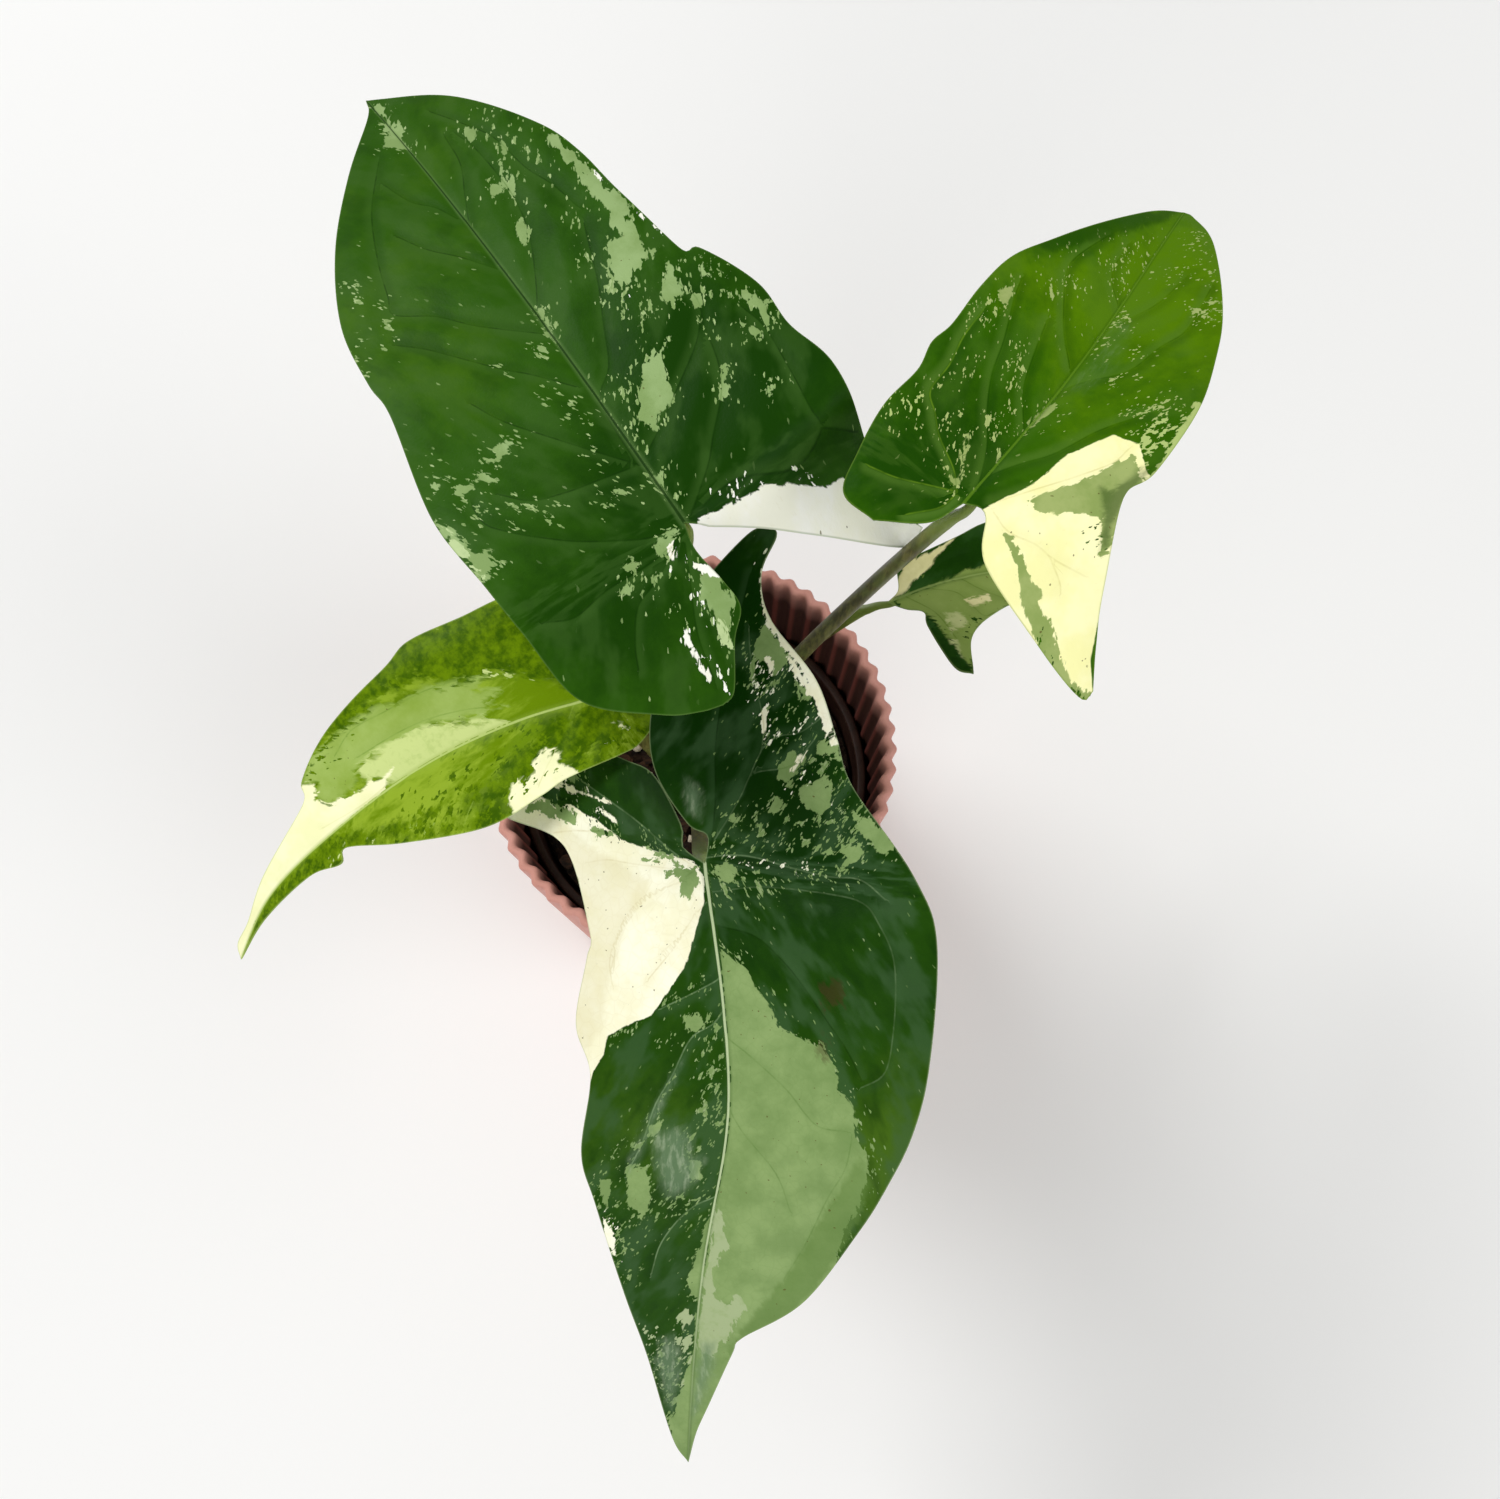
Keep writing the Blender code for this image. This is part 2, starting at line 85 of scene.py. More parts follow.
def grid_sheet(name, columns, rows, place):
    # place(u, v) turns shares across and along the sheet into points in millimetres
    deselect()
    bpy.ops.mesh.primitive_grid_add(x_subdivisions=columns, y_subdivisions=rows, size=1.0)
    sheet = bpy.context.object
    sheet.name = sheet.data.name = name
    flat = get_points(sheet)
    set_points(sheet, place(flat[:, 0] + 0.5, flat[:, 1] + 0.5) * MM)
    return sheet


def pick(*items):
    # Selects these objects and nothing else, with the first as the active one
    deselect()
    for item in items:
        item.select_set(True)
    bpy.context.view_layer.objects.active = items[0]


def join(pieces, name):
    pick(*pieces)
    bpy.ops.object.join()
    pieces[0].name = pieces[0].data.name = name
    return pieces[0]


def edit(item, *steps):
    # Runs edit-mode steps with everything selected
    pick(item)
    bpy.ops.object.mode_set(mode="EDIT")
    bpy.ops.mesh.select_all(action="SELECT")
    for step in steps:
        step()
    bpy.ops.object.mode_set(mode="OBJECT")
    return item


def merge_points(item, distance=0.02):
    # Closes the seams, with the distance in millimetres, and turns all faces outwards
    return edit(item, lambda: bpy.ops.mesh.remove_doubles(threshold=distance * MM),
                lambda: bpy.ops.mesh.dissolve_degenerate(threshold=distance * MM / 2),
                lambda: bpy.ops.mesh.select_all(action="SELECT"),
                lambda: bpy.ops.mesh.normals_make_consistent(inside=False))


def modify(item, kind, **settings):
    pick(item)
    step = item.modifiers.new(kind.lower(), kind)
    for key, value in settings.items():
        setattr(step, key, value)
    bpy.ops.object.modifier_apply(modifier=step.name)
    return item


def smooth(item, degrees=40):
    pick(item)
    bpy.ops.object.shade_smooth_by_angle(angle=math.radians(degrees))
    return item


def finish_piece(item, node, material):
    item.data.materials.clear()
    item.data.materials.append(material)
    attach(item, "root")
    if node:
        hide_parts(node)
    triangles = sum(len(face.vertices) - 2 for face in item.data.polygons)
    print(item.name, "points", len(item.data.vertices), "triangles", triangles)

# %% [markdown]
# ## Node materials written as sums
# A finish is worked out from masks: where a patch is, how near a vein runs, how strong the grain is.
# Such masks are easier to read as sums than as boxes and wires. The small class below wraps one
# socket, and adding or multiplying two of them adds the Math node that does it.

# %% A class for sockets and one for materials
class Wire:
    def __init__(self, paint, socket):
        self.paint = paint
        self.socket = socket

    def __add__(self, other):
        return self.paint.math("ADD", self, other)

    def __sub__(self, other):
        return self.paint.math("SUBTRACT", self, other)

    def __rsub__(self, other):
        return self.paint.math("SUBTRACT", other, self)

    def __mul__(self, other):
        return self.paint.math("MULTIPLY", self, other)

    def __truediv__(self, other):
        return self.paint.math("DIVIDE", self, other)

    def __neg__(self):
        return self.paint.math("MULTIPLY", self, -1.0)

    def __abs__(self):
        return self.paint.math("ABSOLUTE", self)

    __radd__ = __add__
    __rmul__ = __mul__


class Paint:
    def __init__(self, name, roughness=0.5, **constants):
        self.material = bpy.data.materials.new(name)
        self.material.use_nodes = True
        self.tree = self.material.node_tree
        self.shader = self.tree.nodes["Principled BSDF"]
        self.shader.inputs["Roughness"].default_value = roughness
        for key, value in constants.items():
            self.shader.inputs[key.replace("_", " ")].default_value = value

    def node(self, kind, settings, sockets, out=0):
        box = self.tree.nodes.new(kind)
        for key, value in settings.items():
            setattr(box, key, value)
        for key, value in sockets.items():
            if isinstance(value, Wire):
                self.tree.links.new(value.socket, box.inputs[key])
            else:
                box.inputs[key].default_value = value
        return Wire(self, box.outputs[out])

    def math(self, operation, a, b=0.0):
        return self.node("ShaderNodeMath", {"operation": operation}, {0: a, 1: b})

    def top(self, a, b):
        return self.math("MAXIMUM", a, b)

    def fade(self, value, start, end):
        # 0 before start and 1 after end, with a soft rise between them
        return self.node("ShaderNodeMapRange", {"interpolation_type": "SMOOTHSTEP"},
                         {"Value": value, "From Min": start, "From Max": end})

    def mix(self, first, second, share):
        sockets = {key: colour if isinstance(colour, Wire) else (*colour, 1.0)
                   for key, colour in ((6, first), (7, second))}
        return self.node("ShaderNodeMix", {"data_type": "RGBA"}, {0: share, **sockets}, 2)

    def attribute(self, name, out="Fac"):
        return self.node("ShaderNodeAttribute", {"attribute_name": name}, {}, out)

    def place(self):
        return self.node("ShaderNodeTexCoord", {}, {}, "Object")

    def stretch(self, vector, scale):
        return self.node("ShaderNodeMapping", {}, {"Vector": vector, "Scale": scale})

    def noise(self, vector, scale, detail=2.0, roughness=0.5, out=0):
        # A scale of three numbers draws the noise out along the axes
        if isinstance(scale, tuple):
            vector, scale = self.stretch(vector, scale), 1.0
        return self.node("ShaderNodeTexNoise", {}, {"Vector": vector, "Scale": scale, "Detail": detail,
                                                    "Roughness": roughness}, out)

    def vector_math(self, operation, a, b):
        return self.node("ShaderNodeVectorMath", {"operation": operation}, {0: a, 1: b})

    def mosaic(self, vector, scale, ragged=0.5):
        # A mosaic of torn cells, with three random numbers between 0 and 1 for each cell
        spot = self.stretch(vector, scale)
        shake = self.vector_math("MULTIPLY", self.noise(spot, 2.2, 4.0, 0.65, 1), (ragged, ragged, 0.0))
        spot = self.vector_math("ADD", spot, shake)
        cells = self.node("ShaderNodeTexVoronoi", {}, {"Vector": spot, "Scale": 1.0}, 1)
        return [self.node("ShaderNodeSeparateColor", {}, {"Color": cells}, out) for out in range(3)]

    def cracks(self, vector, scale):
        # The distance to the nearest border between the cells of a mosaic
        return self.node("ShaderNodeTexVoronoi", {"feature": "DISTANCE_TO_EDGE"},
                         {"Vector": vector, "Scale": scale})

    def feed(self, socket, wire):
        self.tree.links.new(wire.socket, self.shader.inputs[socket])

    def done(self, colour, roughness, height, depth):
        # Feeds the colour, the roughness and a bump that is so many millimetres deep
        self.feed("Base Color", colour)
        self.feed("Roughness", roughness)
        self.feed("Normal", self.node("ShaderNodeBump", {}, {"Height": height, "Distance": depth * MM,
                                                             "Strength": 1.0}))
        return self.material


def screen(red, green, blue):
    # A colour read from a screen, 0 to 255, in the linear light that a shader needs
    shares = [c / 255 for c in (red, green, blue)]
    return tuple(c / 12.92 if c <= 0.04045 else ((c + 0.055) / 1.055) ** 2.4 for c in shares)


print("a screen grey of 128 is", round(screen(128, 128, 128)[0], 3), "in linear light")

# %% [markdown]
# ## The leaves' outlines
# Each leaf is an arrowhead that hangs on its stalk at one point, with two lobes behind that point.
# Its flat outline is listed here in millimetres, y towards the tip and x to its right, with the
# angles that lay it in the plant. The same numbers made the CAD blades, so the fine leaf sits
# exactly where its solid is. What differs is only how closely the points are set.

# %% The five leaves
LEAVES = {
    "leaf_upper_left": {
        "seat": (3, 6, 242), "heading": 124, "pitch": 8, "roll": 0, "length": 114,
        "arch": 7, "back": 35, "vee": 0.10, "curl": 0.0020, "half_width": 38,
        "waves": [(1.0, 40, 0.5)],
        "folds": [(1, 4, 0, -85, 2.0, 2)],
        "midrib": [],
        "right_shoulder": (38, 10), "left_shoulder": (-34, -2),
        "right_outer": [(13, 102), (22, 84), (25, 73), (26, 60), (28, 43), (31, 41), (36, 30),
                        (36, 20), (38, 10), (37, -4), (39, -8), (43, -11)],
        "right_inner": [(3, -1), (13, -4), (22, -7), (38, -12), (43, -11)],
        "left_outer": [(-2, 109), (-12, 97), (-23, 81), (-30, 66), (-32, 52), (-32, 44), (-36, 24),
                       (-35, 8), (-34, -2), (-32, -16), (-22, -25), (-16, -28), (-12, -29)],
        "left_inner": [(-1, -5), (0, -12), (0, -17), (-4, -21), (-9, -28), (-12, -29)],
        "foot": 126, "stalk": [(-2, 5, 130), (0, 6, 180), (1, 6, 215)],
    },
    "leaf_right": {
        "seat": (51, 8, 246), "heading": 55, "pitch": 10, "roll": 0, "length": 79,
        "arch": 5, "back": 20, "vee": 0.16, "curl": 0.0030, "half_width": 26,
        "waves": [(0.8, 30, 0.5)],
        "folds": [(1, 3, 1, -50, 0.5, 4)],
        "midrib": [(2, 24), (2, 46)],
        "right_shoulder": (22, 16), "left_shoulder": (-20, -3),
        "right_outer": [(2, 79), (8, 75), (17, 60), (21, 50), (24, 37), (24, 23), (22, 16), (28, 3),
                        (32, -3), (36, -8)],
        "right_inner": [(4, 1), (9, -5), (26, -9), (35, -10), (36, -8)],
        "left_outer": [(-4, 75), (-8, 68), (-15, 54), (-19, 45), (-20, 35), (-20, 26), (-21, 21),
                       (-20, 15), (-21, 6), (-20, -3), (-18, -10), (-11, -11)],
        "left_inner": [(-3, -6), (-11, -11)],
        "foot": 342, "stalk": [(12, 4, 118), (25, 9, 155), (38, 12, 190), (47, 11, 222)],
    },
    "leaf_front": {
        "seat": (6, -46, 201), "heading": -92, "pitch": 25, "roll": 12, "length": 123,
        "arch": 10, "back": 45, "vee": 0.14, "curl": 0.0020, "half_width": 38,
        "waves": [(1.2, 44, 0.5)],
        "folds": [(1, 8, 0, -20, 0.45, 12), (-1, 0, -5, -90, -0.15, 8)],
        "midrib": [(-6, 26), (-8, 48), (-4, 78)],
        "right_shoulder": (30, 1), "left_shoulder": (-40, -1),
        "right_outer": [(3, 117), (7, 98), (11, 85), (17, 66), (20, 56), (19, 41), (23, 32), (22, 20),
                        (22, 15), (30, 1), (45, -2), (55, -4), (64, -9), (68, -13)],
        "right_inner": [(5, -2), (6, -6), (13, -14), (20, -16), (31, -18), (46, -19), (60, -18),
                        (68, -13)],
        "left_outer": [(-2, 115), (-5, 107), (-10, 94), (-12, 90), (-24, 80), (-34, 64), (-39, 54),
                       (-43, 44), (-45, 32), (-45, 10), (-40, -1), (-27, -16), (-23, -25),
                       (-18, -35), (-8, -45), (-5, -53), (-7, -60), (-6, -62)],
        "left_inner": [(0, -5), (4, -7), (11, -16), (13, -26), (11, -38), (8, -48), (-1, -60),
                       (-6, -62)],
        "foot": 270, "stalk": [(2, -15, 125), (4, -32, 165), (5, -42, 188)],
    },
    "leaf_left": {
        "seat": (-15, -12, 196), "heading": -149, "pitch": 23, "roll": -8, "length": 97,
        "arch": 10, "back": 90, "vee": 0.10, "curl": 0.0030, "half_width": 28,
        "waves": [(0.8, 30, 0.5)],
        "folds": [],
        "midrib": [(5, 16), (8, 35), (8, 59), (6, 80)],
        "right_shoulder": (25, 0), "left_shoulder": (-12, 2),
        "right_outer": [(3, 95), (5, 89), (10, 79), (16, 61), (20, 58), (25, 48), (28, 31), (30, 24),
                        (28, 13), (25, 0), (14, -13), (10, -14)],
        "right_inner": [(4, -5), (10, -14)],
        "left_outer": [(3, 85), (4, 69), (2, 61), (4, 58), (-2, 47), (-9, 31), (-10, 19), (-10, 13),
                       (-12, 2), (-12, -2), (-9, -9)],
        "left_inner": [(-4, -8), (-9, -9)],
        "foot": 198, "stalk": [(-7, -4, 120), (-11, -8, 160), (-14, -11, 184)],
    },
    "leaf_small": {
        "seat": (44, 18, 165), "heading": 17, "pitch": 16, "roll": -8, "length": 47,
        "arch": 3, "back": 20, "vee": 0.30, "curl": 0.0, "half_width": 16,
        "waves": [(0.4, 16, 0.5)],
        "folds": [],
        "midrib": [(-1, 15)],
        "right_shoulder": (9, 23), "left_shoulder": (-12, 27),
        "right_outer": [(7, 33), (9, 23), (14, 13), (24, 8)],
        "right_inner": [(3, 3), (5, 6), (9, 5), (21, 5), (24, 8)],
        "left_outer": [(-7, 46), (-12, 37), (-12, 27), (-10, 19), (-8, 8), (-6, 4)],
        "left_inner": [(-2, 3), (-6, 4)],
        "foot": 54, "stalk": [(14, 13, 108), (28, 20, 128), (38, 21, 148)],
    },
}
print("leaf lengths in mm:", {name: leaf["length"] for name, leaf in LEAVES.items()})

# %% [markdown]
# ## From the outline to a surface
# A blade isn't flat. Its midrib arches, its sides rise in a shallow trough and roll down at the
# margin, its edge waves and some lobes fold over. One height formula holds all of this, so that
# every point of the outline can be lifted the same way. Paths are smoothed with a curve that passes
# through each listed point.

# %% Paths and the height formula
PATH_STEPS = 12
MIDRIB_ROUNDING = 4.0
FOLD_START = 4.0


def unit(values):
    # Cut off below 0 and above 1
    return np.clip(values, 0.0, 1.0)


def bell(away, width):
    # 1 where the distance is nothing, falling softly to 0
    return np.exp(-(away / width) ** 2)


def smooth_path(points, steps=PATH_STEPS):
    points = np.array(points, float)
    knots = np.vstack([2 * points[0] - points[1], points, 2 * points[-1] - points[-2]])
    t = (np.arange(steps) / steps)[:, None]
    path = []
    for a, b, c, d in zip(knots, knots[1:], knots[2:], knots[3:]):
        path.append(0.5 * (2 * b + (c - a) * t + (2 * a - 5 * b + 4 * c - d) * t ** 2
                           + (3 * b - a - 3 * c + d) * t ** 3))
    return np.vstack(path + [knots[-2][None]])


def travel(path):
    # How far along the path each of its points is
    return np.concatenate([[0.0], np.cumsum(np.linalg.norm(np.diff(path, axis=0), axis=1))])


def spaced(path, count):
    # The same path cut into equal stretches
    lengths = travel(path)
    wanted = np.linspace(0.0, lengths[-1], count + 1)
    return np.stack([np.interp(wanted, lengths, column) for column in path.T], axis=1)


def midrib_path(leaf):
    return smooth_path([(0, 0), *leaf["midrib"], (0, leaf["length"])])


def midrib_x(leaf, y):
    path = midrib_path(leaf)
    return np.where(y <= 0, 0.0, np.interp(y, path[:, 1], path[:, 0]))


def blade_height(leaf, x, y, half):
    share = y / leaf["length"]
    arch = 4 * leaf["arch"]
    height = np.where(share > 1, -arch * (share - 1), arch * share * (1 - share))
    height = np.where(share <= 0, arch * share - leaf["back"] * share ** 2, height)
    across = x - midrib_x(leaf, y)
    height += leaf["vee"] * (np.hypot(across, MIDRIB_ROUNDING) - MIDRIB_ROUNDING)
    height -= leaf["curl"] * across ** 2
    near_margin = np.minimum(1.0, np.abs(x) / leaf["half_width"]) ** 2
    for amplitude, length, phase in leaf["waves"]:
        height += amplitude * near_margin * np.sin(2 * np.pi * y / length + phase)
    for fold_half, fold_x, fold_y, falls, slope, soft in leaf["folds"]:
        turn = math.radians(falls)
        past = (x - fold_x) * math.cos(turn) + (y - fold_y) * math.sin(turn)
        fade = unit(np.hypot(np.maximum(0.0, half * across), np.maximum(0.0, -y)) / FOLD_START)
        height -= np.where(half == fold_half, slope * fade * (past + np.hypot(past, soft)) / 2, 0.0)
    return height


def leaf_axes(leaf):
    # To the blade's right, along its midrib and up out of its face
    heading, pitch, roll = (math.radians(leaf[key]) for key in ("heading", "pitch", "roll"))
    flat, drop = math.cos(pitch), math.sin(pitch)
    along = np.array([math.cos(heading) * flat, math.sin(heading) * flat, -drop])
    level = np.array([math.sin(heading), -math.cos(heading), 0.0])
    normal = np.cross(level, along)
    right = level * math.cos(roll) - normal * math.sin(roll)
    return right, along, normal * math.cos(roll) + level * math.sin(roll)


def in_plant(leaf, x, y, height):
    # From the leaf's own millimetres to the plant's
    right, along, up = leaf_axes(leaf)
    return np.array(leaf["seat"]) + np.outer(x, right) + np.outer(y, along) + np.outer(height, up)


def tip_share(leaf, y):
    return unit(y / leaf["length"])


sample = blade_height(LEAVES["leaf_front"], np.array([20.0]), np.array([10.0]), 1)
print("height 20 mm right of the front leaf's midrib:", round(float(sample[0]), 2), "mm")

# %% [markdown]
# ## Distances on the leaf
# Veins, patches and the margin are all drawn with distances in millimetres. To a path, the distance
# tells how near a vein is. To a closed outline it is positive inside and negative outside, so that
# a material can find the edge of a patch between two points and tear it with noise.

# %% Distances to paths and outlines
def path_distance(spots, path):
    # The distance to the nearest stretch, and the same with a sign for its side
    nearest = np.full(len(spots), 1e6)
    sided = nearest.copy()
    for start, end in zip(path, path[1:]):
        step = end - start
        reach = spots - start
        share = np.clip(reach @ step / max(1e-9, step @ step), 0.0, 1.0)
        away = np.hypot(*(reach - share[:, None] * step).T)
        side = np.sign(step[0] * reach[:, 1] - step[1] * reach[:, 0])
        closer = away < nearest
        nearest[closer] = away[closer]
        sided[closer] = (away * side)[closer]
    return nearest, sided


def patch_distance(spots, outline):
    loop = np.array([*outline, outline[0]], float)
    away = path_distance(spots, loop)[0]
    inside = np.zeros(len(spots), bool)
    for (x0, y0), (x1, y1) in zip(loop, loop[1:]):
        if y0 != y1:
            crosses = (y0 > spots[:, 1]) != (y1 > spots[:, 1])
            inside ^= crosses & (spots[:, 0] < x0 + (spots[:, 1] - y0) * (x1 - x0) / (y1 - y0))
    return np.where(inside, away, -away)


square = patch_distance(np.array([[5.0, 5.0], [15.0, 5.0]]), [(0, 0), (10, 0), (10, 10), (0, 10)])
print("a point in the middle of a 10 mm square and one 5 mm outside it:", square)

# %% [markdown]
# ## Veins
# An arrowhead leaf has one strong midrib and a few side veins that leave it at about thirty degrees
# and bend along the margin. In the lobes they fan out from the stalk. Their routes are listed, with
# the half of the leaf they run on: 1 for its right, -1 for its left, 0 for both.

# %% Vein routes
VEINS = {
    "leaf_upper_left": [
        (0, [(-1, 14), (0, 26), (5, 31), (9, 39), (12, 45), (14, 50), (17, 58)], -0.6),
        (1, [(2, 1), (9, 6), (13, 10), (18, 15), (21, 20), (23, 27), (25, 33), (24, 37)], -0.6),
        (1, [(2, 14), (7, 17), (19, 25), (24, 30)], -0.6),
        (1, [(3, 1), (11, 2), (20, 0), (25, 0), (30, 2), (30, 5), (31, 13), (32, 22), (31, 27)], -0.6),
        (1, [(30, 2), (33, 1), (36, 0)], -0.6),
        (1, [(-1, 45), (4, 54), (8, 63), (10, 73), (10, 86), (9, 92)], -0.6),
        (1, [(0, 71), (3, 78), (6, 85), (7, 93)], -0.6),
        (1, [(18, 62), (17, 69), (15, 76), (14, 86), (11, 94), (8, 101)], -0.6),
        (-1, [(-1, 43), (-10, 51), (-15, 57), (-21, 62), (-20, 66), (-18, 73), (-15, 81), (-12, 87),
            (-6, 96)], -0.6),
        (-1, [(-1, 60), (-5, 66), (-9, 71), (-12, 77)], -0.6),
        (-1, [(-1, 74), (-3, 79), (-6, 83), (-8, 90)], -0.6),
        (-1, [(-2, 31), (-7, 37), (-11, 41), (-16, 47), (-20, 52), (-24, 56)], -0.6),
        (-1, [(-1, 13), (-6, 19), (-10, 24), (-16, 32), (-19, 38)], -0.6),
        (-1, [(-2, 13), (-8, 14), (-14, 15), (-20, 17), (-24, 21)], -0.6),
        (-1, [(-2, 0), (-7, 1), (-13, 4), (-18, 7), (-23, 11), (-27, 15), (-29, 18), (-29, 22)], -0.6),
        (-1, [(-2, -2), (-10, -6), (-15, -8), (-19, -13), (-21, -17)], -0.6),
        (-1, [(-2, -2), (-10, -3), (-18, -3), (-25, -4), (-30, -2)], -0.6),
        (-1, [(-2, -3), (-5, -9), (-9, -17), (-11, -25)], -0.6),
    ],
    "leaf_right": [
        (-1, [(1, 2), (-2, 10), (-6, 16), (-9, 22), (-11, 29), (-14, 37), (-15, 41)], -0.5),
        (-1, [(1, 17), (-3, 23), (-5, 29), (-7, 37)], -0.5),
        (-1, [(1, 32), (-4, 38), (-9, 47), (-10, 52), (-8, 61)], -0.5),
        (-1, [(-2, 1), (-5, 4), (-10, 7), (-13, 10), (-16, 13), (-16, 19), (-17, 25), (-17, 31)], 0.7),
        (-1, [(-2, 1), (-7, -1), (-12, -3), (-17, -4)], 0.6),
        (-1, [(-2, 0), (-3, -3), (-7, -7)], 0.8),
        (-1, [(2, 48), (-3, 54), (-4, 62)], -0.4),
        (1, [(2, 26), (5, 31), (10, 37), (12, 45), (14, 52), (13, 63)], -0.4),
        (1, [(0, 5), (4, 11), (8, 16), (12, 24), (17, 31)], -0.5),
        (1, [(4, 46), (7, 54), (8, 62)], -0.3),
        (1, [(4, 3), (9, 9), (13, 14), (17, 20), (18, 24)], 0.5),
        (1, [(5, 2), (9, 1), (14, 2), (18, 2), (24, 3)], 0.5),
        (1, [(17, 2), (21, 0), (22, -1)], 0.5),
    ],
    "leaf_front": [
        (1, [(-6, 26), (-4, 29), (0, 32), (3, 39), (6, 45), (8, 52), (11, 59)], 0.8),
        (1, [(-5, 20), (-4, 21), (-1, 23), (6, 27)], 0.7),
        (1, [(1, 9), (4, 15), (9, 22)], 0.6),
        (1, [(4, 4), (11, 7), (15, 12), (17, 19), (16, 24)], 0.5),
        (1, [(1, 1), (5, 0), (14, -5), (21, -8), (29, -11), (34, -13)], 0.5),
        (1, [(1, 1), (5, 4), (11, 8), (14, 12), (16, 16), (16, 21)], 0.5),
        (1, [(7, 2), (15, 2), (20, 2), (24, 3)], 0.5),
        (1, [(20, -3), (28, -2), (33, -1)], 0.4),
        (1, [(-1, 7), (2, 11), (4, 14), (7, 17)], 0.6),
        (1, [(-7, 61), (-1, 65), (4, 72), (6, 79)], 0.8),
        (-1, [(0, -2), (-3, -7), (-6, -13), (-9, -21), (-12, -24), (-16, -25), (-20, -28)], 0.5),
        (-1, [(-9, -21), (-9, -26), (-7, -32), (-5, -38), (-4, -43)], 0.4),
        (-1, [(0, -1), (-5, -2), (-10, -2), (-16, -1), (-24, 0), (-30, 0), (-35, 3)], 0.6),
        (-1, [(-6, -13), (-8, -17), (-15, -19), (-19, -24)], 0.4),
        (-1, [(-2, 5), (-12, 3), (-25, 3), (-31, 4), (-34, 7), (-37, 12), (-38, 18), (-38, 27), (-37, 34),
            (-33, 37)], 0.3),
        (-1, [(-4, 11), (-11, 12), (-17, 16), (-21, 20), (-26, 26), (-30, 31), (-33, 36)], -0.4),
        (-1, [(-7, 31), (-12, 34), (-19, 39), (-23, 43), (-26, 45), (-31, 45)], -0.4),
        (-1, [(-32, 46), (-31, 52), (-28, 58), (-24, 68), (-20, 76)], -0.4),
        (-1, [(-7, 42), (-11, 48), (-18, 55), (-21, 62)], -0.4),
        (-1, [(-1, -2), (-1, -12), (0, -23), (-1, -36), (-2, -45), (-3, -53)], -0.5),
    ],
    "leaf_left": [
        (1, [(2, 2), (6, 4), (10, 7), (15, 13), (18, 20), (20, 27), (21, 35), (22, 43), (20, 49)], 0.6),
        (1, [(4, 14), (10, 18), (14, 26), (16, 34), (17, 45)], 0.6),
        (1, [(6, 34), (9, 42), (9, 50), (10, 60)], 0.6),
        (-1, [(-2, 0), (-6, 4), (-8, 7)], 0.6),
        (-1, [(1, 5), (-3, 10), (-6, 15), (-8, 18)], 0.6),
        (-1, [(4, 15), (0, 23), (-2, 28), (-6, 34)], 0.6),
        (-1, [(5, 30), (3, 34), (2, 43), (4, 52)], 0.6),
    ],
    "leaf_small": [
        (-1, [(0, 5), (-1, 8), (-5, 14), (-6, 20)], -0.1),
        (1, [(0, 10), (3, 15), (10, 17), (10, 20)], 0.6),
        (1, [(0, 4), (6, 8), (14, 9)], 0.6),
        (1, [(-1, 17), (3, 20), (7, 24)], 0.6),
    ],
}
print("veins:", {name: len(routes) for name, routes in VEINS.items()})
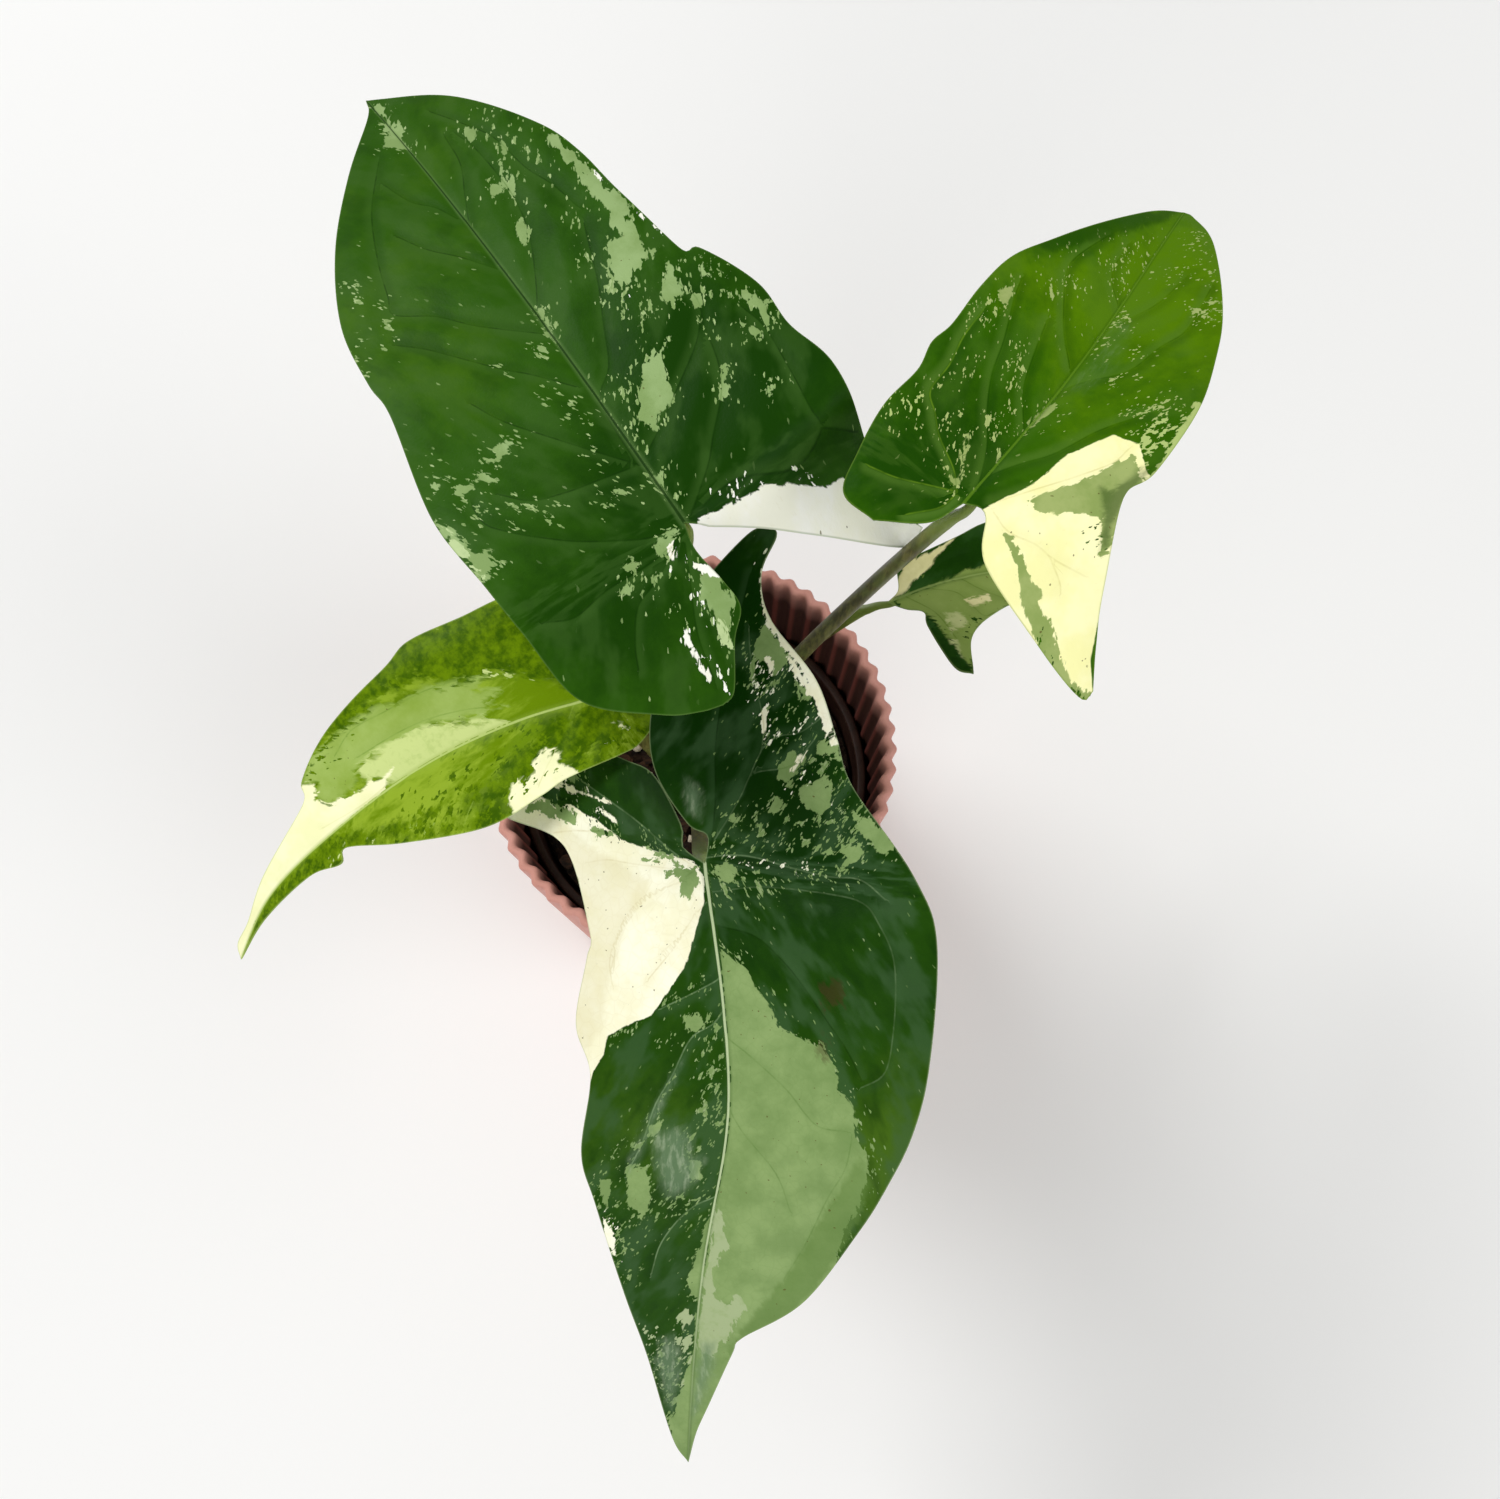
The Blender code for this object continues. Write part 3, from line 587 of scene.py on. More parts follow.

# %% [markdown]
# ## Patches
# Every patch is an outline in the leaf's own millimetres. The outlines are listed by their kind and
# the half they lie on, again 1, -1 or 0. A field is a whole sector of cream, which smaller patches
# of sage lie on. The sheen patches are not tissue: they mark where a painted reflection of the
# light lies on the leaf. The edges are drawn plainly here, and the material tears them.

# %% Patch outlines
PATCHES = {
    "leaf_upper_left": {
        ("sage", 0): [[(1, 110.5), (1.5, 107), (0.5, 94.5), (-4.5, 99), (-2, 100), (-0.5, 103.5)],
            [(11, 91.5), (11.5, 90.5), (10.5, 87.5), (10.5, 89)], [(14, 84.5), (14.5, 83), (14, 80.5),
            (13.5, 81)], [(12, 79.5), (11.5, 72.5), (10, 70.5), (10.5, 76)], [(13, 74.5), (14, 74),
            (13.5, 72), (12.5, 73)], [(7.5, 76.5), (8.5, 76), (8.5, 74.5), (7, 74), (7, 75.5)],
            [(7.5, 66.5), (8, 65.5), (7.5, 63.5), (6, 61.5)], [(1, 46), (1.5, 45), (0.5, 41.5),
            (-0.5, 40), (-0.5, 43)], [(1, 48), (1.5, 47.5), (1, 46), (0.5, 46.5)], [(-4, 41.5),
            (-2.5, 40.5), (-3, 39.5), (-4, 40.5)], [(1, 10), (2, 9.5), (0, 7), (0, 9.5)]],
        ("sage", 1): [[(22, 81.5), (24.5, 67.5), (25.5, 55.5), (23.5, 53.5), (24, 51), (23, 48.5),
            (23.5, 45), (22.5, 44), (20.5, 44.5), (18.5, 43), (18, 41), (15.5, 42.5), (15.5, 48.5),
            (17.5, 50.5), (20.5, 51), (21, 54.5), (22, 57), (22, 66), (22.5, 71.5), (21.5, 76)],
            [(23.5, 42), (24.5, 41), (24, 35), (22.5, 34.5), (20.5, 35), (20, 36.5), (22, 38.5)],
            [(14, 29), (14.5, 28.5), (12.5, 25.5), (12, 21.5), (10.5, 19.5), (5.5, 16.5), (4, 19.5),
            (6.5, 25), (8, 25.5), (9.5, 28), (10.5, 28), (11, 27.5)], [(29, 37.5), (29.5, 36.5),
            (29.5, 34.5), (28.5, 35.5)], [(33, 30.5), (34, 28), (33.5, 26.5), (36, 25.5), (34, 24.5),
            (32.5, 22), (33, 26.5), (32, 29)], [(29, 24.5), (31, 21.5), (30, 20.5), (28.5, 22)],
            [(21, 19), (22.5, 19), (20.5, 16.5), (22, 15.5), (19, 14.5), (18, 15)], [(26, 12),
            (27.5, 11.5), (25.5, 10.5)], [(24.5, 33.5), (26.5, 34.5), (25.5, 32), (24.5, 31)]],
        ("cream", 1): [[(24.5, 68), (25, 65.5), (25, 62), (24.5, 64)], [(26, 54), (26.5, 51.5),
            (27, 46.5), (26.5, 49.5)]],
        ("sage", -1): [[(-22.5, 28), (-20, 28), (-18, 29), (-15.5, 28), (-16.5, 27), (-22.5, 27)],
            [(-24.5, 26.5), (-23, 25.5), (-22.5, 23.5), (-24.5, 24), (-25.5, 25.5)], [(-32, 29),
            (-30, 28.5), (-29.5, 27), (-27, 25), (-27.5, 24.5), (-29.5, 25.5), (-31, 27.5), (-33, 28)],
            [(-28.5, 20.5), (-26.5, 19), (-28.5, 19)], [(-36, 23.5), (-34.5, 20.5), (-33.5, 16),
            (-33.5, 15), (-31.5, 13), (-31, 9.5), (-35.5, 9.5), (-35.5, 18), (-36.5, 20.5)],
            [(-6.5, 11.5), (-5, 9), (-5, 8), (-7.5, 10.5)], [(-4, 0.5), (-2, -0.5), (-5.5, -3),
            (-7.5, -2.5), (-6.5, -1), (-5, -1)], [(-13, -1.5), (-11.5, -1), (-11, -2), (-13, -2.5)],
            [(-16.5, -4.5), (-14, -4), (-13.5, -5.5), (-11, -6.5), (-13.5, -7.5)], [(-11.5, -5), (-9, -5),
            (-8.5, -5.5), (-10.5, -6)], [(-3.5, -7.5), (0, -10.5), (0, -13.5), (-1, -16), (-3.5, -18.5),
            (-5, -21), (-6, -19)]],
        ("pale", -1): [[(-36, 23), (-34.5, 18), (-34, 10), (-35.5, 9.5)], [(-5, -16), (-5, -21.5),
            (-7, -20.5)]],
        ("cream", -1): [[(-10.7, -15.5), (-10.8, -20.5), (-11, -24), (-11.6, -24.5), (-11.9, -21.5),
            (-11.3, -17)], [(-3.5, -2), (-3.5, -3), (-6, -5.5), (-5.5, -3.5)], [(-3.5, -6), (-0.5, -9),
            (0.5, -11), (-3.5, -8)]],
        ("field", 1): [[(2.5, 0), (17.5, -0.5), (27, -3.5), (30.5, -3.5), (32.5, -7), (43.5, -11),
            (50, -20), (40, -30), (20, -20), (4, -10), (0.5, -4), (1.5, -1)]],
    },
    "leaf_right": {
        ("sage", -1): [[(-17, 35.5), (-15.5, 39.5), (-14, 34.5), (-15.5, 34.5)], [(-7, 10),
            (-6, 10.5), (-3, 4)], [(-4.5, 3), (-3, 3), (-2, 1), (-3, 1.5)]],
        ("sage", 0): [[(2, 22.5), (3, 24.5), (3.5, 23), (1.5, 18)]],
        ("field", 1): [[(3, 1), (8, 9.5), (10, 17), (14.5, 24.5), (19, 25.5), (21, 23.5), (23, 22),
            (28, 22), (24, 14.5), (26.5, 6.5), (29.5, 0.5), (32.5, -5), (37.5, -9.5), (34.5, -11.5),
            (31, -11.5), (11.5, -7), (7.5, -4.5)]],
        ("sage", 1): [[(9, 6.5), (10.5, 9), (15.5, 16), (19, 23), (23.5, 20.5), (22.5, 16.5), (25, 8),
            (24, 6.5), (20.5, 11), (18, 10), (11.5, 6)], [(7, 1), (10.5, 0.5), (29.5, -8), (34, -9.5),
            (36, -8.5), (37, -9.5), (33.5, -11), (26.5, -10), (16.5, -5), (15.5, -3.5)]],
        ("shade", 1): [[(17.5, 15), (19.5, 15.5), (21.5, 22), (23.5, 24.5), (22.5, 15.5), (23, 11),
            (24.5, 8.5), (23.5, 7), (20.5, 12)]],
        ("pale", 1): [[(23.6, 22), (23.5, 27), (23.4, 33), (22.6, 38), (24.5, 38), (26, 30),
            (26, 22)]],
        ("dark", 1): [[(31, -10.5), (35, -10), (34, -11)]],
        ("silver", 1): [[(3, 26), (2.5, 32.5), (2.5, 39.5), (2.5, 46), (5.5, 47.5), (7.5, 42.5),
            (8, 37), (7.5, 31.5), (6.5, 28.5)]],
        ("shade", -1): [[(-1, 79), (-4.5, 74), (-9, 68), (-12, 62), (-17, 55.5), (-18, 50), (-14, 50),
            (-11, 55.5), (-8, 60), (-5, 66), (-2, 72)]],
    },
    "leaf_front": {
        ("field", 1): [[(0, 2), (-0.5, 7), (2, 19), (8, 28.5), (10.5, 29.5), (16, 33), (16.5, 36.5),
            (18.5, 40), (19, 43), (23.5, 34), (24, 28.5), (22.5, 19.5), (23, 12.5), (26, 6), (30.5, 2.5),
            (40.5, -0.5), (56.5, 2), (58.5, -0.5), (51.5, -5), (45, -4.5), (32, -2.5), (17, 1), (2.5, 0)],
            [(1.5, 0.5), (18, -2), (23.5, -4.5), (30.5, -6.5), (33, -5.5), (37.5, -7), (39, -5.5),
            (48.5, -1), (44, 0.5), (2, 3)]],
        ("cream", 1): [[(36.5, -9), (34.5, -10), (21, -8)], [(23.5, -6.5), (18, -5), (19.5, -4.5)],
            [(15.5, 68), (14, 70), (13, 72), (13, 76), (15, 73.5)]],
        ("sage", 1): [[(41, -3.5), (39, -5.5), (36, -6.5), (28, -5), (28.5, -3), (37, -4.5)],
            [(24.5, -2.5), (21.5, -3), (19.5, -2.5), (22, -1.5)], [(14.5, 0.5), (8, 0.5), (9, 1.5),
            (12.5, 1.5)], [(12, -1), (8.5, -1), (5, 0.5), (6, 1.5)], [(8, 2), (1.5, 1), (1, 3), (2, 6),
            (3.5, 7.5), (4.5, 7), (4.5, 5), (5, 3), (7.5, 3.5)], [(33.5, -11.5), (30.5, -12),
            (27.5, -10.5), (27.5, -10)], [(-6.5, 63), (-4.5, 67), (-3.4, 72), (-1.5, 79), (-3, 86),
            (-2, 94), (0, 103), (3.5, 113.5), (2.5, 124.5), (0, 123.5), (-4.5, 96.5), (-7.5, 63)],
            [(11, 57.5), (7, 57), (6, 60.5), (7, 68.5), (8.5, 66), (10.5, 65)], [(1.5, 27.5), (-1, 27),
            (-2, 29), (-1, 30.5), (1, 30.5)], [(-0.5, 53.5), (-3, 55), (-3.5, 58), (-1.5, 58)],
            [(7.5, 49), (4.5, 47), (4, 49), (7, 51)], [(16, 60.5), (14.5, 60.5), (14, 66.5), (15, 67.5)],
            [(-3, 28.5), (-4, 28), (-2, 29.5)]],
        ("sage", -1): [[(-4, 15), (-7.5, 16), (-10.5, 18.5), (-15.5, 24.5), (-16.5, 27.5), (-24, 30),
            (-28.5, 34.5), (-29.5, 38), (-32, 41), (-33, 46), (-35, 48.5), (-35.5, 54), (-32, 62.5),
            (-30, 71), (-31, 76), (-21.5, 93.5), (-10.5, 121.5), (5.5, 125), (-4, 79), (-6.5, 59),
            (-7, 49), (-6.5, 35)], [(-5.5, -41), (-7, -44), (-12.5, -39.5), (-12.5, -37.5), (-10, -35),
            (-8, -38), (-6, -36.5), (-5.5, -34)], [(-14.5, -34.5), (-17.5, -33.5), (-17.5, -31),
            (-15, -32)], [(-13, -18.5), (-14.5, -21), (-17.5, -22.5), (-17, -18.5), (-15, -15.5),
            (-13, -16.5)], [(-16.5, -15.5), (-19.5, -16), (-22, -18), (-23.5, -14.5), (-23.5, -13),
            (-21.5, -11), (-18, -12.5)], [(-19.5, -23.5), (-23, -25), (-24.5, -23.5), (-24, -22),
            (-25, -20.5), (-20, -21.5)], [(-9, -10), (-13, -13), (-14, -12), (-9.5, -9)], [(-27.5, -11.5),
            (-30.5, -10.5), (-35.5, -6.5), (-36.5, -5), (-32.5, -5.5), (-29, -8.5)], [(-19.5, -5),
            (-24.5, -5), (-29, -6), (-31, -5), (-26, -0.5), (-25.5, -1.5), (-27, -4)], [(-1.5, 1),
            (-4, -0.5), (-6.5, 0.5), (-5, 3), (-2.5, 2)], [(-4, -8.5), (-6, -10.5), (-6, -8.5)]],
        ("pale", 0): [[(-6.5, 63), (-8, 64.5), (-8, 68), (-9.5, 70.5), (-8, 72), (-7.5, 74.5),
            (-6.5, 76), (-6.5, 79.5), (-7.5, 80), (-6, 81.5), (-9, 83), (-11, 81), (-12, 81), (-13, 83),
            (-10.5, 87), (-10.5, 89), (-8, 91.5), (-6.5, 95), (-3, 94)]],
        ("pale", 1): [[(0.5, 88), (-1, 86), (-2, 87.5), (0, 91)], [(0, 92.5), (-2, 91), (-2, 93.5),
            (0, 95)]],
        ("cream", -1): [[(-5, -57), (-6.5, -56.5), (-6, -52), (-8.5, -47), (-18.5, -35.5),
            (-20.5, -31.5), (-23, -26), (-21.5, -24.5), (-18, -31.5), (-15, -36.5), (-7, -44.5),
            (-5.5, -49.5)], [(-8, -38), (-9.5, -38), (-10, -36.5), (-9, -33), (-9, -36)], [(-12, -38.5),
            (-13.5, -38), (-18, -33), (-17, -32), (-14.5, -34.5)], [(-8, -29), (-9.5, -28.5),
            (-9.5, -23.5), (-9, -24.5)], [(-16, -21.5), (-17.5, -22), (-16.5, -18.5), (-15, -16.5),
            (-15, -19)], [(-21, -24.5), (-23, -25), (-24, -23.5), (-22.5, -23)]],
        ("silver", -1): [[(5.5, -16), (1.5, -13.5), (1, -9.5), (1, -7), (4.5, -8.5), (5.5, -12)],
            [(-3.5, 92), (-7.5, 91), (-6.5, 98.5), (-4.5, 106), (-1, 114), (-1, 106.5), (-2.5, 97)]],
        ("brown", -1): [[(-25, 19.5), (-28, 19), (-28.5, 21.5), (-26.5, 23), (-25, 22)], [(-23.5, 29),
            (-25.5, 29.5), (-26, 32), (-24.5, 32)]],
        ("silver", 1): [[(6.5, 50), (3.5, 48.5), (-1, 48), (-2, 53), (-4.5, 54), (-3, 58.5),
            (-0.5, 62), (3.5, 63), (5.5, 58.5)], [(4.5, 93), (1.5, 91), (-0.5, 95.5), (0.5, 103.5),
            (2.5, 111), (5, 106), (6, 97.5)], [(1, 36), (3.5, 39), (6, 44.5), (8.5, 50), (11, 56),
            (10.5, 59), (7.5, 53), (4.5, 47)]],
        ("shade", -1): [[(-34, 49), (-36, 54), (-33, 64), (-31.5, 68), (-24, 80), (-18, 90), (-8, 96),
            (-12, 88), (-20, 76), (-26, 64)]],
        ("warm", 1): [[(32, -3), (21.5, 1), (10.5, 4.5), (15, 14), (17, 23), (17, 30.5), (20.5, 38),
            (26, 30), (26, 16), (30, 6)]],
    },
    "leaf_left": {
        ("dark", 1): [[(32, 23.5), (27.5, 6), (24, 4), (6, 3.5), (14.5, 12.5), (18.5, 22),
            (22.5, 25.5), (25, 29), (23.5, 43), (23.5, 51), (20.5, 58.5), (23.5, 58.5), (28.5, 46.5)]],
        ("sage", 1): [[(23, 54.5), (24, 43), (23, 37), (21, 31.5), (20.5, 25.5), (18.5, 19),
            (15.5, 12.5), (14.5, 18.5), (12, 14), (10.5, 20), (8.5, 15.5), (10, 22), (13.5, 28.5),
            (15.5, 45.5), (12, 51), (13, 56), (15.5, 57), (17.5, 55.5), (19, 58.5)]],
        ("pale", 1): [[(4.5, 15), (8.5, 20), (10, 23), (12.5, 26.5), (14.5, 30.5), (16, 43.5),
            (14.5, 46.5), (10, 43.5), (6.5, 40.5)]],
        ("cream", 1): [[(20, 59), (18, 55), (15.5, 57.5), (13, 56), (11.5, 50.5), (11, 40), (9, 44),
            (6.5, 41.5), (6, 40.5), (6.5, 50.5), (5, 77), (3.5, 87.5), (-1, 97), (2.5, 98), (12.5, 80.5),
            (15.5, 69.5)]],
        ("cream", -1): [[(-2.5, 13), (-5, 10.5), (-6.5, 12.5), (-10, 10.5), (-11.5, 13), (-10, 25),
            (-8, 24.5), (-4.5, 22)], [(-3, 1.5), (-6.5, -0.5), (-8.5, -1.5), (-6.5, 1)]],
        ("lime", 1): [[(17, 18), (13.5, 11), (8, 5.5), (1.5, 3), (2.5, 9.5), (4.5, 16), (9, 22),
            (15.5, 23)]],
        ("lime", -1): [[(7.5, 52), (9, 36.5), (6, 27), (4.5, 20), (3, 12), (1, 11.5), (-1, 18.5),
            (-2.5, 26), (-1.5, 34.5), (1, 44), (3.5, 53)]],
        ("dark", -1): [[(1.5, 9), (-2.5, -1.5), (-9, 0.5), (-9, 7.5), (-6, 11.5), (-2, 11.5)],
            [(-2.5, 25), (-0.5, 18), (-1.5, 14), (-5.5, 17.5), (-5, 25.5), (-3.5, 31), (-3, 34)],
            [(4.5, 54), (0.8, 43), (-1.5, 34), (-2, 37.5), (0.5, 46), (5, 65), (3.5, 78), (-2, 96),
            (0.5, 99.5), (4, 88), (6, 58.5)]],
    },
    "leaf_small": {
        ("cream", -1): [[(0.5, -3.5), (-2.5, 2.5), (-7, 6.5), (-10, 19), (-1, 4)]],
        ("sage", 0): [[(0, -0.5), (-0.5, 10), (-4, 29), (5, 28), (10.5, 22.5), (12, 15.5),
            (15.5, 12.5), (24.5, 7.5), (10, 7), (6, 6)]],
        ("cream", 1): [[(5, 15.5), (5, 21), (7, 20.5), (7.5, 18), (7, 16)]],
        ("pale", 1): [[(7, 10), (7, 12.5), (10.5, 14), (12.5, 11.5), (11.5, 9.5)], [(13, 8.6),
            (16, 8), (20, 8), (20, 7), (15, 7)]],
        ("dark", 1): [[(5, 5.5), (15.5, 6.5), (22.5, 9), (25.5, 7), (22.5, 4.5), (15.5, 4)]],
    },
}
print("patches:", {name: sum(map(len, groups.values())) for name, groups in PATCHES.items()})

# %% [markdown]
# ## Clouds of flecks
# Around the patches the colour breaks up into flecks. A cloud is a soft band between two points.
# By kind and half, each is listed with x and y of both points, its radius and how dense it is.

# %% Fleck clouds
CLOUDS = {
    "leaf_upper_left": {
        ("sage", 1): [(14, 93, 18, 75, 3, 0.45), (16, 60, 13, 50, 2.5, 0.55),
            (14, 42, 15, 36, 3.5, 0.75), (5, 27, 2, 19, 2, 0.6), (0, 28, 1, 14, 1.5, 0.5),
            (29, 39, 32, 33, 2.5, 0.45), (31, 30, 35, 22, 3, 0.5), (24, 29, 24, 25, 2, 0.5),
            (2, 5, 1, 1, 1.5, 0.4)],
        ("cream", 1): [(15, 39, 14, 36, 1.5, 0.4), (7, 2, 16, 0, 1.5, 0.55),
            (22, -1, 25, -2, 1, 0.6)],
        ("sage", -1): [(-25, 72, -24, 69, 2, 0.6), (-22, 65, -25, 56, 2.5, 0.5),
            (-29, 59, -31, 55, 2, 0.5), (-6, 32, -5, 25, 2.5, 0.65), (-12, 42, -10, 39, 1.5, 0.45),
            (-31, 30, -29, 22, 3, 0.5), (-23, 18, -19, 13, 2, 0.75), (-29, 19, -24, 15, 1.5, 0.5),
            (-8, 19, -3, 16, 1.5, 0.4), (-8, 14, -10, 9, 2, 0.6), (-11, -9, -9, -14, 2, 0.45)],
        ("cream", -1): [(-9, -24, -10, -28, 1.5, 0.6), (-5, -8, -6, -16, 1, 0.5)],
    },
    "leaf_right": {
        ("sage", -1): [(-17, 29, -15, 35, 2.5, 0.7), (-17, 4, -13, 6, 1.5, 0.4),
            (-14, 17, -13, 21, 2.5, 0.5), (-8, 29, -5, 23, 2, 0.6), (-4, 15, -2, 18, 2.5, 0.75),
            (-2, 13, 0, 10, 1.5, 0.6), (-10, 11, -6, 4, 2.5, 0.55), (-10, 43, -7, 47, 2.5, 0.45),
            (-12, 53, -11, 54, 1.5, 0.4), (-4, 55, 0, 53, 2.5, 0.5), (-4, 59, 1, 64, 3.5, 0.5)],
        ("pale", -1): [(-20, 7, -17, 10, 2.5, 0.65)],
        ("sage", 1): [(14, 56, 16, 60, 2.5, 0.8), (12, 65, 5, 74, 2.5, 0.45),
            (5, 60, 8, 64, 2.5, 0.35), (3, 39, 4, 47, 2, 0.6), (9, 41, 9, 41, 1.5, 0.5),
            (9, 34, 11, 36, 2, 0.5), (17, 30, 23, 35, 3, 0.75)],
        ("pale", 1): [(19, 24, 22, 30, 3, 0.8)],
        ("cream", 1): [(22, 10, 21, 21, 1.5, 0.5)],
        ("dark", 1): [(21, 8, 23, 8, 1.5, 0.6), (22, -7, 28, -9, 1, 0.4)],
    },
    "leaf_front": {
        ("sage", 1): [(-4, 31, -5, 47, 3, 0.75), (6, 27, -2, 22, 1.5, 0.6), (6, 33, 2, 32, 2, 0.5),
            (7, 51, 3, 39, 1, 0.6), (13, 56, 9, 53, 2, 0.6), (3, 65, -4, 64, 3.5, 0.65),
            (-1, 51, -5, 52, 2.5, 0.6), (14, 66, 12, 79, 3.5, 0.7), (8, 71, 7, 71, 2, 0.5),
            (4, 98, 3, 107, 3.5, 0.75), (14, 33, 12, 31, 2, 0.5), (16, -5, 9, -2, 1, 0.45)],
        ("cream", 1): [(15, 67, 13, 76, 1.5, 0.6), (28, -7, 22, -5, 2, 0.5)],
        ("pale", 1): [(6, 92, 5, 103, 2, 0.6), (0, 92, 0, 105, 2, 0.7)],
        ("sage", -1): [(-8, -38, -14, -26, 5, 0.6), (-19, -22, -25, -17, 3, 0.8),
            (-23, -12, -29, -8, 5, 0.85), (-9, -7, -21, -6, 4, 0.6), (-2, -2, -9, -10, 2.5, 0.5),
            (-5, 3, -11, 5, 3, 0.5), (-10, 0, -24, 0, 2, 0.5), (-3, 4, -15, 2, 3, 0.6),
            (2, -45, 0, -41, 2.5, 0.3)],
        ("cream", -1): [(-7, -38, -8, -30, 2.5, 0.65), (-14, -39, -20, -29, 2, 0.6),
            (-11, -24, -15, -26, 2, 0.6), (-18, -16, -24, -13, 2.5, 0.45), (-5, -1, -22, -1, 1, 0.5)],
        ("dark", -1): [(-21, -20, -26, -16, 2.5, 0.6)],
        ("dark", 1): [(36, -8, 19, -3, 2, 0.5)],
    },
    "leaf_left": {
        ("pale", 1): [(26, 18, 16, 10, 5, 0.7), (17, 29, 14, 22, 2.5, 0.4)],
        ("sage", 1): [(22, 15, 18, 13, 3.5, 0.5)],
        ("dark", 1): [(22, 48, 21, 55, 3.5, 0.5)],
        ("dark", -1): [(-1, 15, -3, 25, 5, 0.7), (0, 30, -1, 42, 5, 0.75), (-8, 28, 0, 48, 3.5, 0.6),
            (-6, 12, -10, 2, 3, 0.5)],
        ("pale", -1): [(-1, 32, -6, 32, 3, 0.4), (2, 49, 4, 62, 2, 0.3)],
        ("cream", -1): [(-4, 20, -9, 19, 3, 0.6), (-9, 4, -8, 0, 2.5, 0.5)],
        ("sage", -1): [(0, 40, 2, 45, 3.5, 0.5)],
    },
    "leaf_small": {
        ("cream", 1): [(10, 11, 12, 14, 3, 0.6)],
        ("dark", 1): [(13, 11, 12, 15, 2, 0.6)],
        ("pale", 1): [(3, 6, 2, 16, 2.5, 0.3)],
    },
}
print("clouds:", {name: sum(map(len, groups.values())) for name, groups in CLOUDS.items()})

# %% [markdown]
# ## Where the blade is lighter or darker
# Even the plain green isn't one green: it is brighter near the tip of a young leaf and deepest in
# the lobes, and some broad lighter spots are painted sheen, where the waxy blade would catch the
# light. Soft round spots of tone say where, each with its place, its radius and how much lighter
# (positive) or darker (negative) it makes the leaf.

# %% Spots of tone
TONES = {
    "leaf_upper_left": [(-18, 60, 30, 0.25), (15, 60, 20, -0.15), (18, 15, 26, -0.55), (-15, -5, 22, -0.35),
                        (-15, 35, 12, 0.15), (5, 95, 12, 0.2)],
    "leaf_right": [(8, 62, 24, 0.75), (-12, 45, 14, 0.3), (8, 25, 12, 0.25), (-10, 2, 16, -0.5),
                   (-12, 22, 10, -0.1), (-14, 55, 7, -0.5), (-8, 68, 6, -0.5)],
    "leaf_front": [(-3, -35, 25, -0.7), (20, -14, 14, -0.1), (-20, 5, 22, -0.35), (-38, 50, 14, 0.7),
                   (-20, 25, 14, 0.1), (8, 50, 16, 0.35)],
    "leaf_left": [(22, 20, 14, 0.2), (-6, 20, 12, -0.45), (3, 38, 11, 0.5), (10, 6, 9, -0.5)],
    "leaf_small": [(-6, 22, 12, -0.3)],
}
print("spots of tone:", sum(len(spots) for spots in TONES.values()))

# %% [markdown]
# ## Modelling one blade
# Each half of a blade is one sheet of small squares that runs from the midrib out to the margin,
# and behind the stalk from the sinus out to the lobe. The halves are joined and merged along the
# midrib. Relief is added to the height: veins sink into the upper face and the blade swells
# between them. Solidify gives the wall, thinner at the margin, and last the ribs of the veins are
# raised on the lower face, where a real leaf has them.

# %% Sheets for the two halves
# For each leaf in turn: the side of a square, how dense flecks lie round the patches, and half the
# width of the line that the midrib shows as
CELLS = dict(zip(LEAVES, (0.68, 0.55, 0.75, 0.55, 0.45)))
EDGE_FLECKS = dict(zip(LEAVES, (0.4, 0.35, 0.4, 0.12, 0.0)))
RIB_WIDTHS = dict(zip(LEAVES, (0.32, 0.3, 0.36, 0.35, 0.4)))
THICKNESS = 0.8
MARGIN_THICKNESS = 0.45      # share of the wall that is left at the margin
MARGIN_WIDTH = 2.5           # how far in from the margin the wall gets thinner
FAR = 99.0                   # stands for a distance where there is nothing near
OUTSIDE = -20.0              # stands for a depth where there is no patch
PATCH_KINDS = ("field", "sage", "pale", "cream", "dark", "lime", "silver", "brown", "shade", "warm")
FLECK_KINDS = ("sage", "cream", "dark", "pale")
RIB_GROOVE, VEIN_GROOVE, SWELLING = 0.38, 0.22, 0.45     # on the upper face
RIB_RIDGE, VEIN_RIDGE = 1.1, 0.4                         # on the lower face


def half_border(leaf, half):
    side = "right" if half == 1 else "left"
    outer_points = [(0, leaf["length"]), *leaf[side + "_outer"]]
    outer = smooth_path(outer_points)
    shoulder = outer_points.index(leaf[side + "_shoulder"]) * PATH_STEPS
    inner = smooth_path([(0, 0), *leaf[side + "_inner"]])
    return outer, shoulder, inner


def half_sheet(name, leaf, half, cell):
    outer, shoulder, inner = half_border(leaf, half)
    front_rows = round(leaf["length"] / cell)
    lobe_rows = round(travel(outer[shoulder:])[-1] / cell)
    margin = np.vstack([spaced(outer[:shoulder + 1], front_rows), spaced(outer[shoulder:], lobe_rows)[1:]])
    ys = leaf["length"] * (1 - np.arange(front_rows + 1) / front_rows)
    start = np.vstack([np.stack([midrib_x(leaf, ys), ys], axis=1), spaced(inner, lobe_rows)[1:]])
    spots = []

    def place(u, v):
        row = np.rint(v * (len(start) - 1)).astype(int)
        spots.append(start[row] + (margin[row] - start[row]) * u[:, None])
        return np.column_stack([spots[0], np.zeros(len(u))])

    sheet = grid_sheet(name, round(leaf["half_width"] / cell), len(start) - 1, place)
    store(sheet, "lay", np.column_stack([spots[0], np.full(len(spots[0]), half)]), "FLOAT_VECTOR")
    return sheet


